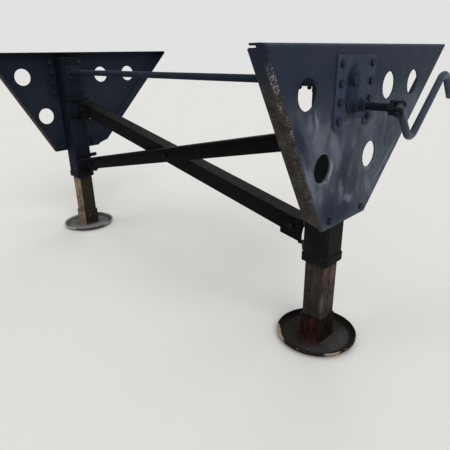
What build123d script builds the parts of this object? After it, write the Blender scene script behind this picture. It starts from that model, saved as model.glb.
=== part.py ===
"""Two-speed landing gear of a semi trailer: two legs on wing plates, cross braces, cross shaft and crank.

X points to the crank side, Y to the rear of the trailer and Z up.
The origin is the centre of the four front frame bolts, on the upper face of the top flanges.
"""
from build123d import *
import os
from math import atan, cos, radians, sin

# Overall sizes, in millimetres
frame_height = 1175.0
leg_track = 1970.0
ground = -frame_height
leg_x = leg_track / 2
frame_bolt_pitch = 304.8
frame_bolt_hole = 17.5
frame_bolt_inset = 40.0
running_gap = 0.1
slip_gap = 0.3
bolt_gap = 0.5

# Leg tubes, heights given above the ground
outer_tube = 114.3
outer_wall = 4.8
outer_corner = 10.0
outer_bottom = ground + 372.0
outer_top = -38.0
tube_clearance = 4.725
inner_wall = 6.35
inner_corner = 8.0
inner_bottom = ground + 24.0
inner_top = ground + 800.0
cap_thickness = 6.0
cap_overhang = 2.0
cap_chamfer = 2.0
collar_height = 34.0
collar_wall = 5.0
collar_lip = 6.0
collar_chamfer = 2.5

# Wing plates, corner places along Y and heights above the ground
plate_thickness = 6.35
flange_thickness = 6.35
flange_depth = 60.0
bend_radius = 14.0
plate_front_top = -480.0
plate_rear_top = 827.0
plate_front_bottom = -139.0
plate_rear_bottom = 197.0
plate_bottom = ground + 545.0
plate_front_round = 16.0
plate_rear_round = 45.0
flange_end_low = 14.0
flange_end_high = 42.0
corner_relief = 9.0
lightening_hole = 100.0
# place along Y and height above the ground of each lightening hole
lightening_holes = (
    (-266.0, 1033.0),
    (-157.0, 785.0),
    (173.0, 781.0),
    (276.0, 1029.0),
    (498.0, 1028.0),
)

# Bolts through the leg flange and the wing plate
bolt_size = 15.875
bolt_head = 24.0
bolt_head_height = 10.0
nut_height = 14.0
flange_centre = 12.0
flange_bolt_spread = 200.0
flange_bolt_pitch = 60.0
flange_bolt_rows = 4
flange_bolt_top = ground + 1114.0
low_bolt_height = ground + 575.0
low_bolt_spread = 230.0
low_bolt_centre = 30.0
flange_margin = 30.0
flange_top_margin = 22.0
low_tab_height = 56.0

# Gearbox: the crossing shaft above, the crank shaft below
output_height = ground + 1055.0
input_height = ground + 980.0
gearbox_width = 60.0
gearbox_above = 47.0
gearbox_below = 28.0
gearbox_depth = 30.0
gearbox_taper = 14.0
gearbox_round = 7.0
gearbox_rim = 5.0
gearbox_rim_thickness = 3.0
gearbox_wall = 3.0
window_margin = 7.0
ear_width = 56.0
ear_thickness = 5.0
ear_bottom = ground + 900.0
ear_bridge = ground + 934.0
ear_top = ground + 1142.0
ear_round = 28.0
boss_size = 28.0
boss_height = 21.0
boss_forward = 26.0
boss_rise = 9.0
bulge_size = 68.0
bulge_height = 5.0
bulge_forward = 12.0
bulge_rise = 9.0
hub_size = 38.0
hub_height = 22.0
hub_chamfer = 2.0

# Crank shaft, fork and handle
shaft_size = 25.4
pin_reach = 134.15
pin_size = 12.7
fork_width = 36.0
tongue_thickness = 19.0
tongue_width = 30.0
tongue_reach = 27.0
tongue_blend = 4.0
fork_web = 14.0
fork_margin = 1.0
fork_root = 4.0
fork_clearance = 2.0
handle_size = 25.4
handle_drop = 165.0
handle_arm = 330.0
handle_grip = 140.0
handle_bend = 42.0
handle_lean = 43.0

# Cross shaft and its ends at the legs
cross_shaft_size = 31.75
cross_shaft_wall = 4.0
stub_size = 25.4
stub_reach = 60.0
coupling_size = 42.0
coupling_length = 84.0
coupling_bolt = 9.5
coupling_gap = 6.0
shaft_end_gap = 4.0
bearing_plate = 84.0
bearing_round = 12.0
bearing_thickness = 8.0
bearing_hub = 52.0
bearing_hub_height = 12.0

# Braces of equal angle section, bolted back to back where they cross
brace_leg = 76.2
brace_thickness = 6.35
brace_fillet = 6.0
brace_rise = 0.2135
brace_end_gap = 43.0
brace_bolt_gap = 93.0
bracket_thickness = 8.0
bracket_room = 13.3
bracket_foot_gap = 7.1
bracket_gap = 0.8

# Outline of the brackets' level plates, from the leg's inboard face and along Y from its centre
bracket_step = 36.0
bracket_reach = 56.0
bracket_nose = 8.0
bracket_step_start = 32.0
bracket_rear = 64.0
bracket_tip_step = 18.0
bracket_tip = 92.0
bracket_back = 118.0
bracket_back_reach = 40.0

# Ears of the brackets, from the brace's end
ear_length = 108.0
ear_end_above = 2.0
ear_end_height = 58.0
shelf_bolt_gap = 21.0
shelf_bolt_back = 24.0

# Foot
foot_size = 343.0
foot_thickness = 6.35
foot_rim = 24.0
foot_flat = 268.0
foot_lip = 1.5
foot_bend = 46.0
socket_wall = 6.35
socket_height = 112.0
socket_gap = 0.9
socket_base_x = 132.0
socket_base_y = 118.0
socket_base_round = 8.0
socket_base_thickness = 7.0
foot_pin_size = 25.0
foot_pin_height = 72.0
foot_pin_head = 38.0
foot_pin_head_height = 6.0

# Faces that pieces share
tube_face = leg_x + outer_tube / 2
tube_inboard = leg_x - outer_tube / 2
inner_tube = outer_tube - 2 * (outer_wall + tube_clearance)
plate_inner = tube_face + flange_thickness
plate_outer = plate_inner + plate_thickness
ear_outer = plate_outer + ear_thickness
cover_top = ear_outer + gearbox_depth
flange_bolts_y = (flange_centre - flange_bolt_spread / 2, flange_centre + flange_bolt_spread / 2)
flange_bolts_z = [flange_bolt_top - row * flange_bolt_pitch for row in range(flange_bolt_rows)]
flange_bolts = [(y, z) for y in flange_bolts_y for z in flange_bolts_z]
low_bolts = [
    (low_bolt_centre - low_bolt_spread / 2, low_bolt_height),
    (low_bolt_centre + low_bolt_spread / 2, low_bolt_height),
]
frame_bolt_x = plate_outer - frame_bolt_inset
frame_bolts_y = (-frame_bolt_pitch, 0.0, frame_bolt_pitch, 2 * frame_bolt_pitch)
gearbox_top = output_height + gearbox_above
gearbox_bottom = input_height - gearbox_below
gearbox_middle = (gearbox_top + gearbox_bottom) / 2
gearbox_length = gearbox_top - gearbox_bottom
window_width = gearbox_width - 2 * window_margin
window_height = gearbox_length - 2 * window_margin
pin_x = cover_top + pin_reach
brace_end = tube_inboard - brace_end_gap
brace_bolt_x = tube_inboard - brace_bolt_gap
brace_end_height = brace_leg / cos(atan(brace_rise))
bracket_height = bracket_thickness + bracket_gap + brace_end_height + bracket_room
collar_top = outer_bottom - collar_lip + collar_height
brace_fall = brace_rise * (tube_inboard - bracket_reach)
lowest_seat = collar_top + bracket_foot_gap
brace_cross = lowest_seat + bracket_height + brace_fall - brace_end_height / 2 - bracket_gap
shelf_bolt_x = tube_inboard - shelf_bolt_gap

os.makedirs("parts", exist_ok=True)


def save(part, name):
    """Label one finished piece and write it."""
    part.label = name
    export_step(part, f"parts/{name}.step")


def save_mirrored(part, name):
    """Write the mirror image of a piece for the side without the crank."""
    with BuildPart() as other:
        mirror(part, about=Plane.YZ)
    save(other.part, f"right_{name}")


def save_pair(part, name):
    """Write a piece of the crank side and its mirror image."""
    save(part, f"left_{name}")
    save_mirrored(part, name)


def hex_bolt(grip, size=bolt_size, head=bolt_head, nut=nut_height):
    """Bolt along Z: the clamped faces lie at 0 and -grip, the head above and the nut below."""
    with BuildPart() as one:
        with BuildSketch():
            RegularPolygon(head / 2, 6, major_radius=False)
        extrude(amount=bolt_head_height * head / bolt_head)
        with BuildSketch():
            Circle(size / 2)
        extrude(amount=-(grip + nut + size / 4))
        with BuildSketch(Plane.XY.offset(-grip)):
            RegularPolygon(head / 2, 6, major_radius=False)
        extrude(amount=-nut)
    return one.part


def with_gear_window(part):
    """The piece with the opening for the gears in its outboard side."""
    with BuildPart() as geared:
        add(part)
        with BuildSketch(Plane.YZ.offset(leg_x)):
            with Locations((0, gearbox_middle)):
                SlotOverall(window_height, window_width, rotation=90)
        extrude(amount=outer_tube, mode=Mode.SUBTRACT)
    return geared.part


def across(x, y, z):
    """Plane at a place, facing the crank side, with its own X along Y."""
    return Plane(origin=(x, y, z), x_dir=(0, 1, 0), z_dir=(1, 0, 0))


# Wing plate: a pan with folded front, top and rear flanges and an open bottom
with BuildPart() as wing_plate:
    with BuildSketch(Plane.YZ.offset(plate_outer)):
        with BuildLine() as plate_line:
            Polyline(
                (plate_front_top, 0),
                (plate_rear_top, 0),
                (plate_rear_bottom, plate_bottom),
                (plate_front_bottom, plate_bottom),
                close=True,
            )
        make_face()
    extrude(amount=-flange_depth)
    outer_web = wing_plate.faces().sort_by(Axis.X)[-1]
    fillet(outer_web.edges().sort_by(Axis.Z)[1:], bend_radius)
    inboard_face = wing_plate.faces().sort_by(Axis.X)[0]
    bottom_face = wing_plate.faces().sort_by(Axis.Z)[0]
    offset(amount=-plate_thickness, openings=[inboard_face, bottom_face])
    # the folds end in a slant above the bottom edge
    with BuildSketch(Plane.XZ):
        with BuildLine():
            Polyline(
                (plate_inner, plate_bottom + flange_end_low),
                (plate_outer - flange_depth, plate_bottom + flange_end_high),
                (plate_outer - flange_depth, plate_bottom),
                (plate_inner, plate_bottom),
                close=True,
            )
        make_face()
    extrude(amount=plate_rear_top, both=True, mode=Mode.SUBTRACT)
    # round corners at the bottom
    with BuildSketch(Plane.YZ.offset(plate_outer)):
        with BuildLine():
            add(plate_line.line)
        outline = make_face()
        fillet(outline.vertices().sort_by(Axis.Y)[1], plate_front_round)
        fillet(outline.vertices().sort_by(Axis.Y)[-2], plate_rear_round)
    extrude(amount=-flange_depth, mode=Mode.INTERSECT)
    # open corners where two folds meet
    with BuildSketch(Plane.YZ.offset(plate_outer - 2 * bend_radius)):
        with Locations(
            (plate_front_top + plate_thickness, -plate_thickness),
            (plate_rear_top - plate_thickness, -plate_thickness),
        ):
            Circle(corner_relief)
    extrude(amount=-flange_depth, mode=Mode.SUBTRACT)
    with BuildSketch(Plane.YZ.offset(plate_outer)):
        for y, height in lightening_holes:
            with Locations((y, ground + height)):
                Circle(lightening_hole / 2)
        with Locations(*flange_bolts, *low_bolts):
            Circle(bolt_size / 2 + bolt_gap)
    extrude(amount=-2 * plate_thickness, mode=Mode.SUBTRACT)
    with BuildSketch(Plane.XY):
        with Locations(*[(frame_bolt_x, y) for y in frame_bolts_y]):
            Circle(frame_bolt_hole / 2)
    extrude(amount=-2 * plate_thickness, mode=Mode.SUBTRACT)
save_mirrored(wing_plate.part, "wing_plate")
save(with_gear_window(wing_plate.part), "left_wing_plate")

# Mounting flange welded on the leg, an upper plate with the bolt columns and a lower tab
with BuildPart() as mounting_flange:
    flange_height = flange_bolt_pitch * (flange_bolt_rows - 1) + flange_top_margin + flange_margin
    with BuildSketch(Plane.YZ.offset(tube_face)):
        with Locations((flange_centre, flange_bolt_top + flange_top_margin - flange_height / 2)):
            RectangleRounded(flange_bolt_spread + 2 * flange_margin, flange_height, flange_margin / 2)
        with Locations((low_bolt_centre, low_bolt_height + low_tab_height / 4)):
            RectangleRounded(low_bolt_spread + 2 * flange_margin, low_tab_height, flange_margin / 2)
        with Locations(*flange_bolts, *low_bolts):
            Circle(bolt_size / 2 + bolt_gap, mode=Mode.SUBTRACT)
    extrude(amount=flange_thickness)
save_mirrored(mounting_flange.part, "mounting_flange")
save(with_gear_window(mounting_flange.part), "left_mounting_flange")

# Outer tube of the leg
with BuildPart() as outer_leg:
    with BuildSketch(Plane.XY.offset(outer_bottom)):
        with Locations((leg_x, 0)):
            RectangleRounded(outer_tube, outer_tube, outer_corner)
            inner_side = outer_tube - 2 * outer_wall
            RectangleRounded(inner_side, inner_side, outer_corner - outer_wall, mode=Mode.SUBTRACT)
    extrude(amount=outer_top - outer_bottom)
    # hole of the cross shaft's stub in the inboard wall
    with BuildSketch(Plane.YZ.offset(leg_x)):
        with Locations((0, output_height)):
            Circle(stub_size / 2 + slip_gap)
    extrude(amount=-outer_tube, mode=Mode.SUBTRACT)
save_mirrored(outer_leg.part, "outer_tube")

# The tube of the crank side has the gear window and the inner seat of the crank shaft
with BuildPart() as crank_leg:
    add(with_gear_window(outer_leg.part))
    with BuildSketch(Plane.YZ.offset(leg_x)):
        with Locations((0, input_height)):
            Circle(shaft_size / 2 + running_gap)
    extrude(amount=-outer_tube, mode=Mode.SUBTRACT)
save(crank_leg.part, "left_outer_tube")

# Cap on the top of the outer tube
with BuildPart() as leg_cap:
    with BuildSketch(Plane.XY.offset(outer_top)):
        with Locations((leg_x, 0)):
            cap_side = outer_tube + 2 * cap_overhang
            RectangleRounded(cap_side, cap_side, outer_corner + cap_overhang)
    extrude(amount=cap_thickness)
    chamfer(leg_cap.faces().sort_by(Axis.Z)[-1].edges(), cap_chamfer)
save_pair(leg_cap.part, "leg_cap")

# Collar round the lower end of the outer tube, its lip guides the inner tube
with BuildPart() as tube_collar:
    collar_side = outer_tube + 2 * collar_wall
    with BuildSketch(Plane.XY.offset(outer_bottom - collar_lip)):
        with Locations((leg_x, 0)):
            RectangleRounded(collar_side, collar_side, outer_corner + collar_wall)
    extrude(amount=collar_height)
    chamfer(tube_collar.faces().sort_by(Axis.Z)[0].edges(), collar_chamfer)
    with BuildSketch(Plane.XY.offset(outer_bottom)):
        with Locations((leg_x, 0)):
            seat = outer_tube
            RectangleRounded(seat, seat, outer_corner)
    extrude(amount=collar_height, mode=Mode.SUBTRACT)
    with BuildSketch(Plane.XY.offset(outer_bottom)):
        with Locations((leg_x, 0)):
            passage = inner_tube + 2 * slip_gap
            RectangleRounded(passage, passage, inner_corner + slip_gap)
    extrude(amount=-collar_height, mode=Mode.SUBTRACT)
save_pair(tube_collar.part, "tube_collar")

# Inner tube of the leg
with BuildPart() as inner_leg:
    with BuildSketch(Plane.XY.offset(inner_bottom)):
        with Locations((leg_x, 0)):
            RectangleRounded(inner_tube, inner_tube, inner_corner)
            inner_side = inner_tube - 2 * inner_wall
            RectangleRounded(inner_side, inner_side, inner_corner - inner_wall, mode=Mode.SUBTRACT)
    extrude(amount=inner_top - inner_bottom)
    with BuildSketch(Plane.YZ.offset(leg_x - inner_tube)):
        with Locations((0, ground + foot_pin_height)):
            Circle(foot_pin_size / 2 + slip_gap)
    extrude(amount=2 * inner_tube, mode=Mode.SUBTRACT)
save_pair(inner_leg.part, "inner_tube")

# Round dished foot with its rim turned up
with BuildPart() as foot_dish:
    with BuildSketch(Plane.XZ):
        with BuildLine():
            flat = foot_flat / 2
            reach = foot_size / 2
            rim_inner = (reach - foot_thickness, ground + foot_rim + foot_lip)
            inner_arc = RadiusArc(rim_inner, (flat, ground + foot_thickness), foot_bend)
            Polyline(
                inner_arc @ 1,
                (0, ground + foot_thickness),
                (0, ground),
                (flat, ground),
                (reach - foot_thickness, ground + foot_rim / 3),
                (reach, ground + foot_rim),
                inner_arc @ 0,
            )
        make_face()
    revolve(axis=Axis.Z)
foot_place = Pos(leg_x, 0, 0)
save_pair(foot_place * foot_dish.part, "foot_dish")

# Socket of the foot, a box sleeve on a base plate
with BuildPart() as foot_socket:
    with BuildSketch(Plane.XY.offset(ground + foot_thickness)):
        with Locations((leg_x, 0)):
            RectangleRounded(socket_base_x, socket_base_y, socket_base_round)
    extrude(amount=socket_base_thickness)
    with BuildSketch(Plane.XY.offset(ground + foot_thickness + socket_base_thickness)):
        with Locations((leg_x, 0)):
            bore = inner_tube + 2 * socket_gap
            sleeve = bore + 2 * socket_wall
            RectangleRounded(sleeve, sleeve, inner_corner + socket_wall)
            RectangleRounded(bore, bore, inner_corner + socket_gap, mode=Mode.SUBTRACT)
    extrude(amount=socket_height - foot_thickness - socket_base_thickness)
    with BuildSketch(Plane.YZ.offset(leg_x - inner_tube)):
        with Locations((0, ground + foot_pin_height)):
            Circle(foot_pin_size / 2 + slip_gap)
    extrude(amount=2 * inner_tube, mode=Mode.SUBTRACT)
save_pair(foot_socket.part, "foot_socket")

# Pin through the socket and the inner tube, with a head at each end
with BuildPart() as foot_pin:
    half_pin = sleeve / 2
    with BuildSketch(across(leg_x - half_pin, 0, ground + foot_pin_height)):
        Circle(foot_pin_size / 2)
    extrude(amount=2 * half_pin)
    with BuildSketch(across(leg_x + half_pin, 0, ground + foot_pin_height)):
        Circle(foot_pin_head / 2)
    extrude(amount=foot_pin_head_height)
    with BuildSketch(across(leg_x - half_pin, 0, ground + foot_pin_height)):
        Circle(foot_pin_head / 2)
    extrude(amount=-foot_pin_head_height)
save_pair(foot_pin.part, "foot_pin")

# Bolts that hold the leg to the wing plate, longer where they pass the gearbox ears
side_bolt = hex_bolt(plate_thickness + flange_thickness)
ear_bolt = hex_bolt(plate_thickness + flange_thickness + ear_thickness)
with BuildPart() as left_bolts:
    for y, z in flange_bolts:
        add(across(ear_outer, y, z).location * ear_bolt)
    for y, z in low_bolts:
        add(across(plate_outer, y, z).location * side_bolt)
save(left_bolts.part, "left_mounting_bolts")
with BuildPart() as right_bolts:
    for y, z in [*flange_bolts, *low_bolts]:
        add(mirror(across(plate_outer, y, z).location * side_bolt, about=Plane.YZ, mode=Mode.PRIVATE))
save(right_bolts.part, "right_mounting_bolts")

# Gearbox plate with an ear on each side that takes a bolt column
with BuildPart() as gearbox_plate:
    with BuildSketch(Plane.YZ.offset(plate_outer)):
        left_side = flange_bolts_y[0] - ear_width / 2
        right_side = flange_bolts_y[1] + ear_width / 2
        with BuildLine():
            Polyline(
                (left_side, ear_top),
                (right_side, ear_top),
                (right_side, ear_bottom),
                (right_side - ear_width, ear_bottom),
                (right_side - ear_width, ear_bridge),
                (left_side + ear_width, ear_bridge),
                (left_side + ear_width, ear_bottom),
                (left_side, ear_bottom),
                close=True,
            )
        ear_face = make_face()
        fillet(ear_face.vertices().group_by(Axis.Y)[0], ear_round)
        fillet(ear_face.vertices().group_by(Axis.Y)[-1], ear_round)
        with Locations(*flange_bolts):
            Circle(bolt_size / 2 + bolt_gap, mode=Mode.SUBTRACT)
    extrude(amount=ear_thickness)
save(with_gear_window(gearbox_plate.part), "gearbox_plate")

# Stamped gearbox cover: a tapered housing on a rim, with a bearing boss, a gear bulge and a hub
boss_place = (-boss_forward, output_height + boss_rise)
bulge_place = (-bulge_forward, input_height + bulge_rise)
with BuildPart() as gearbox_cover:
    with BuildSketch(Plane.YZ.offset(ear_outer)):
        with Locations((0, gearbox_middle)):
            SlotOverall(gearbox_length, gearbox_width, rotation=90)
    extrude(amount=gearbox_depth, taper=gearbox_taper)
    fillet(gearbox_cover.faces().sort_by(Axis.X)[-1].edges(), gearbox_round)
    with BuildSketch(Plane.YZ.offset(ear_outer)):
        with Locations((0, gearbox_middle)):
            SlotOverall(gearbox_length + 2 * gearbox_rim, gearbox_width + 2 * gearbox_rim, rotation=90)
    extrude(amount=gearbox_rim_thickness)
    with BuildSketch(Plane.YZ.offset(ear_outer)):
        with Locations(bulge_place):
            Circle(bulge_size / 2)
    extrude(amount=bulge_height)
    with BuildSketch(Plane.YZ.offset(ear_outer)):
        with Locations(boss_place):
            Circle(boss_size / 2)
    extrude(amount=boss_height)
    with BuildSketch(Plane.YZ.offset(cover_top - gearbox_wall)):
        with Locations((0, input_height)):
            Circle(hub_size / 2)
    extrude(amount=gearbox_wall + hub_height)
    hub_face = gearbox_cover.faces().sort_by(Axis.X)[-1]
    chamfer(hub_face.edges(), hub_chamfer)
    # hollow of the housing and the bore of the crank shaft
    with BuildSketch(Plane.YZ.offset(ear_outer)):
        with Locations((0, gearbox_middle)):
            hollow = 2 * gearbox_wall
            SlotOverall(gearbox_length - hollow, gearbox_width - hollow, rotation=90)
    extrude(amount=gearbox_depth - gearbox_wall, taper=gearbox_taper, mode=Mode.SUBTRACT)
    with BuildSketch(Plane.YZ.offset(ear_outer + gearbox_wall)):
        with Locations((0, input_height)):
            Circle(shaft_size / 2 + running_gap)
    extrude(amount=gearbox_depth + hub_height, mode=Mode.SUBTRACT)
save(gearbox_cover.part, "gearbox_cover")

# Bearing plate of the cross shaft on the inboard face of each leg
with BuildPart() as shaft_bearing:
    with BuildSketch(Plane.YZ.offset(tube_inboard)):
        with Locations((0, output_height)):
            RectangleRounded(bearing_plate, bearing_plate, bearing_round)
    extrude(amount=-bearing_thickness)
    with BuildSketch(Plane.YZ.offset(tube_inboard - bearing_thickness)):
        with Locations((0, output_height)):
            Circle(bearing_hub / 2)
    extrude(amount=-bearing_hub_height)
    with BuildSketch(Plane.YZ.offset(tube_inboard)):
        with Locations((0, output_height)):
            Circle(stub_size / 2 + slip_gap)
    extrude(amount=-bearing_thickness - bearing_hub_height, mode=Mode.SUBTRACT)
save_pair(shaft_bearing.part, "shaft_bearing")

# Output stub of each leg, held in the tube wall and the bearing, carries the coupling
bearing_face = tube_inboard - bearing_thickness - bearing_hub_height
coupling_out = bearing_face - coupling_gap
coupling_in = coupling_out - coupling_length
coupling_middle = (coupling_out + coupling_in) / 2
stub_bolt_x = coupling_out - coupling_length / 4
shaft_bolt_x = coupling_in + coupling_length / 4
with BuildPart() as output_stub:
    with BuildSketch(Plane.YZ.offset(coupling_middle + shaft_end_gap / 2)):
        with Locations((0, output_height)):
            Circle(stub_size / 2)
    extrude(amount=tube_inboard + stub_reach - coupling_middle - shaft_end_gap / 2)
    with BuildSketch(Plane.XY.offset(output_height - stub_size)):
        with Locations((stub_bolt_x, 0)):
            Circle(coupling_bolt / 2 + slip_gap)
    extrude(amount=2 * stub_size, mode=Mode.SUBTRACT)
save_pair(output_stub.part, "output_stub")

# Cross shaft, a tube between the two couplings
with BuildPart() as cross_shaft:
    with BuildSketch(Plane.YZ.offset(-coupling_middle + shaft_end_gap / 2)):
        with Locations((0, output_height)):
            Circle(cross_shaft_size / 2)
            Circle(cross_shaft_size / 2 - cross_shaft_wall, mode=Mode.SUBTRACT)
    extrude(amount=2 * coupling_middle - shaft_end_gap)
    with BuildSketch(Plane.XY.offset(output_height - coupling_size)):
        with Locations((shaft_bolt_x, 0), (-shaft_bolt_x, 0)):
            Circle(coupling_bolt / 2 + slip_gap)
    extrude(amount=2 * coupling_size, mode=Mode.SUBTRACT)
save(cross_shaft.part, "cross_shaft")

# Coupling sleeve with a bore for each shaft end
with BuildPart() as shaft_coupling:
    with BuildSketch(Plane.YZ.offset(coupling_in)):
        with Locations((0, output_height)):
            Circle(coupling_size / 2)
            Circle(cross_shaft_size / 2 + slip_gap, mode=Mode.SUBTRACT)
    extrude(amount=coupling_length / 2)
    with BuildSketch(Plane.YZ.offset(coupling_middle)):
        with Locations((0, output_height)):
            Circle(coupling_size / 2)
            Circle(stub_size / 2 + slip_gap, mode=Mode.SUBTRACT)
    extrude(amount=coupling_length / 2)
    with BuildSketch(Plane.XY.offset(output_height - coupling_size)):
        with Locations((stub_bolt_x, 0), (shaft_bolt_x, 0)):
            Circle(coupling_bolt / 2 + slip_gap)
    extrude(amount=2 * coupling_size, mode=Mode.SUBTRACT)
save_pair(shaft_coupling.part, "shaft_coupling")

# Two bolts through each coupling
small_head = bolt_head * coupling_bolt / bolt_size
small_nut = nut_height * coupling_bolt / bolt_size
small_bolt = hex_bolt(coupling_size + 2 * slip_gap, coupling_bolt, small_head, small_nut)
with BuildPart() as coupling_bolts:
    for x in (stub_bolt_x, shaft_bolt_x):
        add(Pos(x, 0, output_height + coupling_size / 2 + slip_gap) * small_bolt)
save_pair(coupling_bolts.part, "coupling_bolts")


def brace(rise, behind):
    """Angle section along a line that rises by the given share towards the crank side."""
    angle = atan(rise)
    along = (cos(angle), 0, sin(angle))
    start = (-brace_end, 0, brace_cross - rise * brace_end)
    side = 1 if behind else -1
    with BuildPart() as bar:
        with BuildSketch(Plane(origin=start, x_dir=(0, 1, 0), z_dir=along)):
            half = brace_leg / 2
            with BuildLine():
                Polyline(
                    (0, -half),
                    (0, half),
                    (side * brace_leg, half),
                    (side * brace_leg, half - brace_thickness),
                    (side * brace_thickness, half - brace_thickness),
                    (side * brace_thickness, -half),
                    close=True,
                )
            section = make_face()
            inner = section.vertices().sort_by_distance((side * brace_thickness, half - brace_thickness))[0]
            fillet(inner, brace_fillet)
        extrude(amount=2 * brace_end / cos(angle))
        for x in (-brace_bolt_x, 0.0, brace_bolt_x):
            with BuildSketch(Plane(origin=(x, 0, brace_cross + rise * x), x_dir=(1, 0, 0), z_dir=(0, -1, 0))):
                Circle(bolt_size / 2 + bolt_gap)
            extrude(amount=brace_leg / 4, both=True, mode=Mode.SUBTRACT)
    return bar.part


# Braces, the front one rises to the crank side and the rear one falls to it
save(brace(brace_rise, behind=False), "front_brace")
save(brace(-brace_rise, behind=True), "rear_brace")


def bracket_plate(top):
    """Level plate of a bracket, its upper face at the given height, reaching round the leg's rear corner."""
    with BuildPart() as plate:
        with BuildSketch(Plane.XY.offset(top)):
            with BuildLine():
                Polyline(
                    (tube_inboard, -outer_tube / 2),
                    (tube_inboard - bracket_step, -bracket_nose),
                    (tube_inboard - bracket_reach, -bracket_nose),
                    (tube_inboard - bracket_reach, bracket_nose),
                    (tube_inboard - bracket_step, bracket_step_start),
                    (tube_inboard - bracket_step, bracket_rear),
                    (tube_inboard - bracket_tip_step, bracket_tip),
                    (tube_inboard + bracket_back_reach, bracket_back),
                    (tube_inboard + bracket_back_reach, outer_tube / 2),
                    (tube_inboard, outer_tube / 2),
                    close=True,
                )
            make_face()
            with Locations((shelf_bolt_x, shelf_bolt_back)):
                Circle(bolt_size / 2 + bolt_gap, mode=Mode.SUBTRACT)
        extrude(amount=-bracket_thickness)
    return plate.part


def bracket_top(rise):
    """Height of the upper face of a bracket, just over the brace that rises by the given share to it."""
    over = max(rise * brace_end, rise * (tube_inboard - bracket_reach))
    return brace_cross + over + brace_end_height / 2 + bracket_gap + bracket_thickness


def brace_bracket(rise, ear_front):
    """Bracket on the crank side leg for a brace that rises by the given share towards it."""
    upper_seat = bracket_top(rise) - bracket_thickness
    lower_seat = bracket_top(rise) - bracket_height
    ear_end = brace_end - ear_length
    end_top = brace_cross + rise * ear_end + ear_end_above
    with BuildPart() as bracket:
        # ear beside the brace, wider towards the leg
        with BuildSketch(Plane(origin=(0, ear_front, 0), x_dir=(1, 0, 0), z_dir=(0, -1, 0))):
            with BuildLine():
                Polyline(
                    (brace_end, lower_seat),
                    (brace_end, upper_seat),
                    (tube_inboard - bracket_reach, upper_seat),
                    (ear_end, end_top),
                    (ear_end, end_top - ear_end_height),
                    (tube_inboard - bracket_reach, lower_seat),
                    close=True,
                )
            make_face()
            with Locations((brace_bolt_x, brace_cross + rise * brace_bolt_x)):
                Circle(bolt_size / 2 + bolt_gap, mode=Mode.SUBTRACT)
        extrude(amount=-bracket_thickness)
        add(bracket_plate(bracket_top(rise)))
        add(bracket_plate(lower_seat))
    return bracket.part


# name, side, rise of the brace towards that leg, front face of the ear and of what it is bolted with
brackets = (
    ("left_upper_bracket", 1, brace_rise, 0.0, -brace_thickness),
    ("left_lower_bracket", 1, -brace_rise, -bracket_thickness, -bracket_thickness),
    ("right_upper_bracket", -1, brace_rise, -bracket_thickness, -bracket_thickness),
    ("right_lower_bracket", -1, -brace_rise, 0.0, -brace_thickness),
)
for name, side, rise, ear_front, lap_front in brackets:
    piece = brace_bracket(rise, ear_front)
    if side < 0:
        piece = mirror(piece, about=Plane.YZ)
    save(piece, name)

# Bolts of the braces: one at each end, one where they cross and one through each lower plate
lap_bolt = hex_bolt(brace_thickness + bracket_thickness)
cross_bolt = hex_bolt(2 * brace_thickness)
shelf_bolt = hex_bolt(bracket_thickness)
with BuildPart() as brace_bolts:
    cross_plane = Plane(origin=(0, -brace_thickness, brace_cross), x_dir=(1, 0, 0), z_dir=(0, -1, 0))
    add(cross_plane.location * cross_bolt)
    for name, side, rise, ear_front, lap_front in brackets:
        lap_place = (side * brace_bolt_x, lap_front, brace_cross + rise * brace_bolt_x)
        add(Plane(origin=lap_place, x_dir=(1, 0, 0), z_dir=(0, -1, 0)).location * lap_bolt)
        shelf_top = bracket_top(rise) - bracket_height
        add(Pos(side * shelf_bolt_x, shelf_bolt_back, shelf_top) * shelf_bolt)
save(brace_bolts.part, "brace_bolts")

# Crank shaft with a fork at its outer end, held in the hub and the inboard wall of the leg
pin_across = Vector(0, cos(radians(handle_lean)), sin(radians(handle_lean)))
drop_line = Vector(0, sin(radians(handle_lean)), -cos(radians(handle_lean)))
pin_place = Vector(pin_x, 0, input_height)
fork_gap = tongue_thickness + 2 * bolt_gap
fork_plane = Plane(origin=pin_place - pin_across * (fork_width / 2), x_dir=(1, 0, 0), z_dir=pin_across)
with BuildPart() as crank_shaft:
    with BuildSketch(Plane.YZ.offset(tube_inboard)):
        with Locations((0, input_height)):
            Circle(shaft_size / 2)
    extrude(amount=pin_x - fork_web - tongue_width / 2 - tube_inboard)
    # fork: a block rounded about the pin, slotted for the tongue of the handle
    with BuildSketch(fork_plane):
        Circle(tongue_width / 2 + fork_margin)
        back = fork_web + tongue_width / 2 + fork_root
        with Locations((-back / 2, 0)):
            Rectangle(back, tongue_width + 2 * fork_margin)
    extrude(amount=fork_width)
    slot_plane = Plane(origin=pin_place - pin_across * (fork_gap / 2), x_dir=(1, 0, 0), z_dir=pin_across)
    with BuildSketch(slot_plane):
        with Locations((tongue_width / 2, 0)):
            Rectangle(2 * (tongue_width + fork_clearance), 2 * tongue_width)
    extrude(amount=fork_gap, mode=Mode.SUBTRACT)
    with BuildSketch(fork_plane):
        Circle(pin_size / 2 + running_gap)
    extrude(amount=fork_width, mode=Mode.SUBTRACT)
save(crank_shaft.part, "crank_shaft")

# Pin of the fork, a bolt with a nut
fork_head = bolt_head * pin_size / bolt_size
fork_nut = nut_height * pin_size / bolt_size
pin_bolt = hex_bolt(fork_width, pin_size, fork_head, fork_nut)
pin_plane = Plane(origin=pin_place + pin_across * (fork_width / 2), x_dir=(1, 0, 0), z_dir=pin_across)
with BuildPart() as crank_pin:
    add(pin_plane.location * pin_bolt)
save(crank_pin.part, "crank_pin")

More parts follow.
